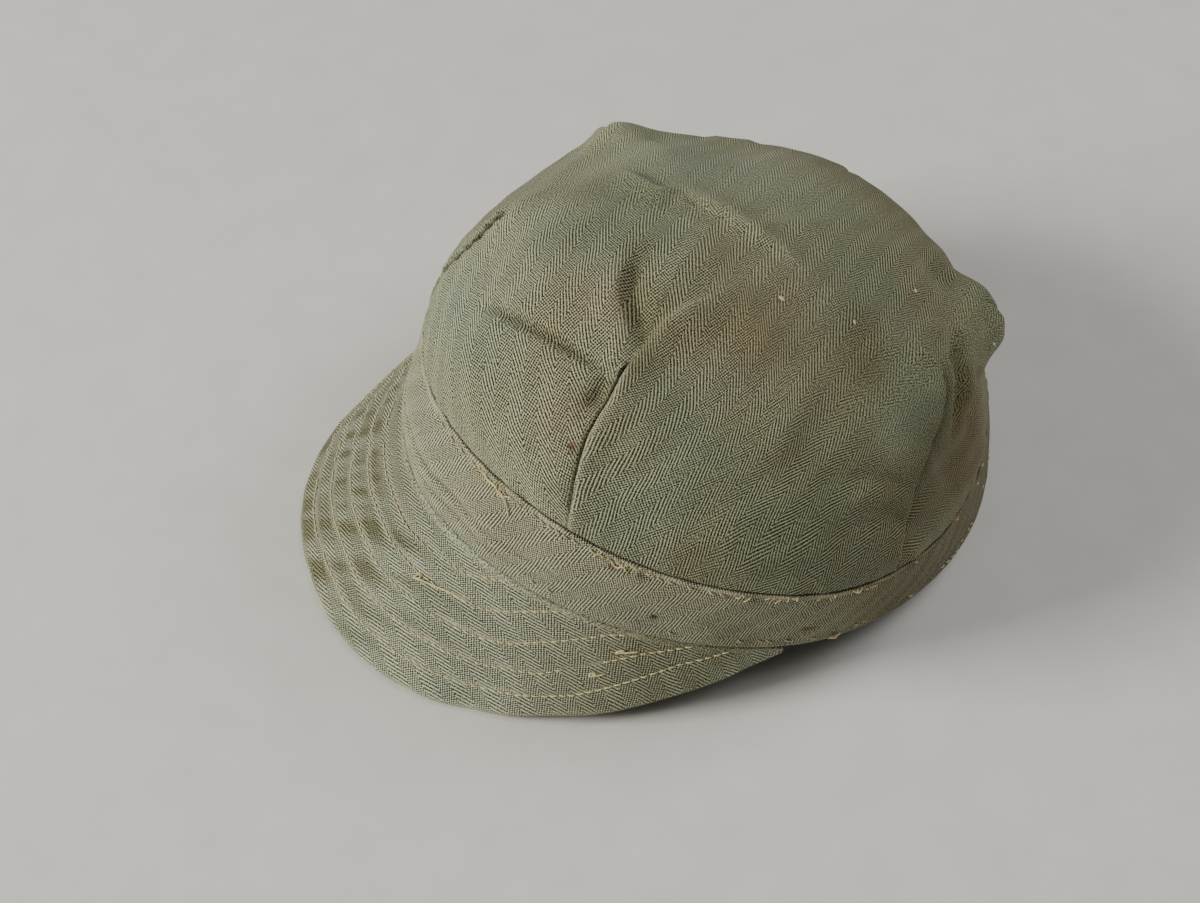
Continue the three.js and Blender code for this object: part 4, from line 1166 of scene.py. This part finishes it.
def makeTwill(name, colours, patchSeed):
    weave = twillWeave
    material, tree = startMaterial(name)
    place = addNode(tree, "TexCoord", output="Object")
    marks = {key: addNode(tree, "Attribute", {"attribute_name": key}, output="Fac") for key in twillMarks}
    raised, fleck = twillLines(tree, place, marks, colours["column"])
    brown, cool = twillPatches(tree, place, marks, patchSeed)
    depth = weave["fleckDepth"]
    spread = {"From Min": 0.3, "From Max": 0.7, "To Min": -depth, "To Max": depth}
    fleckAmount = addNode(tree, "MapRange", {"clamp": False}, {"Value": fleck, **spread})
    light = addNode(tree, "Math", {"operation": "ADD", "use_clamp": True}, {0: fleckAmount, 1: raised})
    clamped = {"operation": "MULTIPLY", "use_clamp": True}
    rubFleck = addNode(tree, "Math", clamped, {0: marks["rubbed"], 1: fleck})
    # painted shade from the mesh: dart slits, seam lines, sewn channels, insides and undersides
    sewn = addNode(tree, "Math", clamped, {0: marks["sewnDark"], 1: weave["shadeDepth"]})
    yarns = {}
    for shade in ("dark", "light"):
        tone = toLinear(colours[shade])
        for amount, ending in ((brown, "Brown"), (cool, "Cool")):
            toneLinks = {0: amount, 6: tone, 7: toLinear(colours[shade + ending])}
            tone = addNode(tree, "Mix", {"data_type": "RGBA"}, toneLinks, 2)
        yarns[shade] = tone
    cloth = addNode(tree, "Mix", {"data_type": "RGBA"}, {0: light, 6: yarns["dark"], 7: yarns["light"]}, 2)
    # layers: rubbed wear with painted highlights, rust, painted shade with grime, then the dark painted
    # shade
    layers = ((rubFleck, "wearAndHighlight", "MIX"), (marks["rust"], "rust", "MULTIPLY"),
              (marks["shadeAndGrime"], "shadeAndGrime", "MULTIPLY"), (sewn, "seam", "MIX"))
    for amount, colour, blend in layers:
        layerLinks = {0: amount, 6: cloth, 7: toLinear(colours[colour])}
        cloth = addNode(tree, "Mix", {"data_type": "RGBA", "blend_type": blend}, layerLinks, 2)
    heightLinks = {0: fleck, 1: weave["fleckBump"], 2: raised}
    height = addNode(tree, "Math", {"operation": "MULTIPLY_ADD"}, heightLinks)
    bumpLinks = {"Height": height, "Distance": weave["yarnHeight"] * mm, "Strength": weave["bumpStrength"]}
    roughLinks = {"Value": fleck, "To Min": weave["roughLow"], "To Max": weave["roughHigh"]}
    shader = addNode(tree, "BsdfPrincipled", None, {
        "Base Color": cloth, "Roughness": addNode(tree, "MapRange", None, roughLinks),
        "Normal": addNode(tree, "Bump", None, bumpLinks),
        "IOR": 1.46, "Specular IOR Level": 0.25, "Sheen Weight": 0.12, "Sheen Roughness": 0.5})
    addNode(tree, "OutputMaterial", None, {"Surface": shader})
    return material


crownColours = {
    "column": 4.4,  # width of one herringbone column
    "light": "#d0d3aa", "dark": "#1c2115",
    "lightBrown": "#cbbe96", "darkBrown": "#2a2417",
    "lightCool": "#bfcaae", "darkCool": "#1f261e",
    # the seam colour paints shade into slits, seam lines and undersides; the grime colour darkens painted
    # shade and grime
    "wearAndHighlight": "#d2ccae", "seam": "#17150e", "shadeAndGrime": "#b1ae9b", "rust": "#b4754f",
}
bandColours = dict(crownColours, light="#d5d6b2", dark="#1e2014")
visorColours = dict(crownColours, column=3.6, light="#dee4c4", dark="#393c2d", lightBrown="#d0c8a6",
                    darkBrown="#3f3a2b", shadeAndGrime="#aea891")

# cotton sewing thread, two-ply and faded to straw: a soft twisted look with a slight lustre
threadPly = {"length": 1.6, "height": 0.1, "strength": 0.5}


def makeThread(name, code, darkCode):
    material, tree = startMaterial(name)
    place = addNode(tree, "TexCoord", output="Object")
    plyLinks = {"Vector": place, "Scale": 1 / (threadPly["length"] * mm), "Detail": 2.0}
    ply = addNode(tree, "TexNoise", None, plyLinks)
    toneLinks = {0: ply, 6: toLinear(darkCode), 7: toLinear(code)}
    tone = addNode(tree, "Mix", {"data_type": "RGBA"}, toneLinks, 2)
    bumpLinks = {"Height": ply, "Distance": threadPly["height"] * mm, "Strength": threadPly["strength"]}
    bump = addNode(tree, "Bump", None, bumpLinks)
    shader = addNode(tree, "BsdfPrincipled", None, {
        "Base Color": tone, "Roughness": 0.8, "Normal": bump, "IOR": 1.5, "Specular IOR Level": 0.3})
    addNode(tree, "OutputMaterial", None, {"Surface": shader})
    return material


crownTwill = makeTwill("herringbone_twill_crown", crownColours, 1.7)
bandTwill = makeTwill("herringbone_twill_band", bandColours, 4.1)
visorTwill = makeTwill("herringbone_twill_visor", visorColours, 8.9)
strawThread = makeThread("straw_cotton_thread", "#ece2b4", "#c9bc88")
fadedThread = makeThread("faded_cotton_thread", "#c9c09f", "#958a6a")
whiteLint = makeThread("white_cotton_lint", "#f0ece2", "#cfc9bb")
print("materials ready")


def finishPiece(piece, material, slotName, *nodes):
    piece.data.materials.append(material)
    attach(piece, "root")
    if nodes:
        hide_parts(*nodes)


finishPiece(buildCrown(crownCloth), crownTwill, "crown_twill", "crown")
finishPiece(buildBand(bandCloth, bandWear), bandTwill, "band_twill", "band")
finishPiece(buildVisor(visorCloth), visorTwill, "visor_twill", "visor")
finishPiece(buildVisorStitches(visorThread), strawThread, "visor_twill")
finishPiece(buildBandStitches(seamThread), fadedThread, "band_twill")
finishPiece(buildLooseEnds(looseEnds), strawThread, "band_twill")
finishPiece(buildLint(crownLint), whiteLint, "crown_twill")

# floor, light and camera; lengths here are in metres
studio = {"floorSize": 20.0, "floor": "#d9d6d0", "grain": "#e6e4df", "grainScale": 60.0,
          "air": "#e6e2dc", "airStrength": 0.13}
# rows: name, power, colour, size, place, aim
lamps = [
    ("key_softbox", 55.0, "#fffdf6", 0.9, (-0.25, -1.9, 1.05), (0.0, 0.0, 0.04)),
    ("back_softbox", 22.0, "#ffffff", 1.3, (0.1, 1.3, 1.7), (0.0, 0.0, 0.05)),
]


# painted board, matt: pale, with a faint even grain
def makeFloor(form):
    mesh = bpy.data.meshes.new("floor")
    h = form["floorSize"] / 2
    mesh.from_pydata([(-h, -h, 0), (h, -h, 0), (h, h, 0), (-h, h, 0)], [], [(0, 1, 2, 3)])
    floor = bpy.data.objects.new("floor", mesh)
    bpy.context.scene.collection.objects.link(floor)
    material, tree = startMaterial("pale_matt_board")
    place = addNode(tree, "TexCoord", output="Object")
    grain = addNode(tree, "TexNoise", None, {"Vector": place, "Scale": form["grainScale"], "Detail": 4.0})
    toneLinks = {0: grain, 6: toLinear(form["floor"]), 7: toLinear(form["grain"])}
    tone = addNode(tree, "Mix", {"data_type": "RGBA"}, toneLinks, 2)
    shader = addNode(tree, "BsdfPrincipled", None, {"Base Color": tone, "Roughness": 0.85})
    addNode(tree, "OutputMaterial", None, {"Surface": shader})
    mesh.materials.append(material)


makeFloor(studio)
for name, power, tint, size, place, aim in lamps:
    lamp = bpy.data.lights.new(name, "AREA")
    lamp.energy = power
    lamp.color = toLinear(tint)[:3]
    lamp.size = size
    holder = bpy.data.objects.new(name, lamp)
    holder.location = place
    holder.rotation_euler = (Vector(aim) - Vector(place)).to_track_quat("-Z", "Y").to_euler()
    bpy.context.scene.collection.objects.link(holder)

world = bpy.data.worlds.new("studio_air")
world.use_nodes = True
air = world.node_tree.nodes["Background"].inputs
air["Color"].default_value = toLinear(studio["air"])
air["Strength"].default_value = studio["airStrength"]
bpy.context.scene.world = world

# the viewing angle in degrees, and the place in millimetres from the cap's own origin
photoCamera = {"azimuth": 73.738, "elevation": 50.564, "roll": -2.969, "place": (363.33, -139.98, 479.47),
               "focalPixels": 1927.1, "widthPixels": 1200, "sensorWidth": 36}


def makeCamera(form):
    a, e, roll = (math.radians(form[k]) for k in ("azimuth", "elevation", "roll"))
    back = Vector((math.sin(a) * math.cos(e), -math.cos(a) * math.cos(e), math.sin(e)))
    level = Vector((math.cos(a), math.sin(a), 0))
    upright = back.cross(level)
    right = level * math.cos(roll) + upright * math.sin(roll)
    up = upright * math.cos(roll) - level * math.sin(roll)
    data = bpy.data.cameras.new("photo_camera")
    data.sensor_fit = "HORIZONTAL"
    data.sensor_width = form["sensorWidth"]
    data.lens = form["sensorWidth"] * form["focalPixels"] / form["widthPixels"]
    data.clip_start = 0.01
    camera = bpy.data.objects.new("photo_camera", data)
    place = Vector(((np.array(form["place"]) + capShift) * mm).tolist())
    camera.matrix_world = Matrix.Translation(place) @ Matrix((right, up, back)).transposed().to_4x4()
    bpy.context.scene.collection.objects.link(camera)
    bpy.context.scene.camera = camera


makeCamera(photoCamera)
print("studio ready")
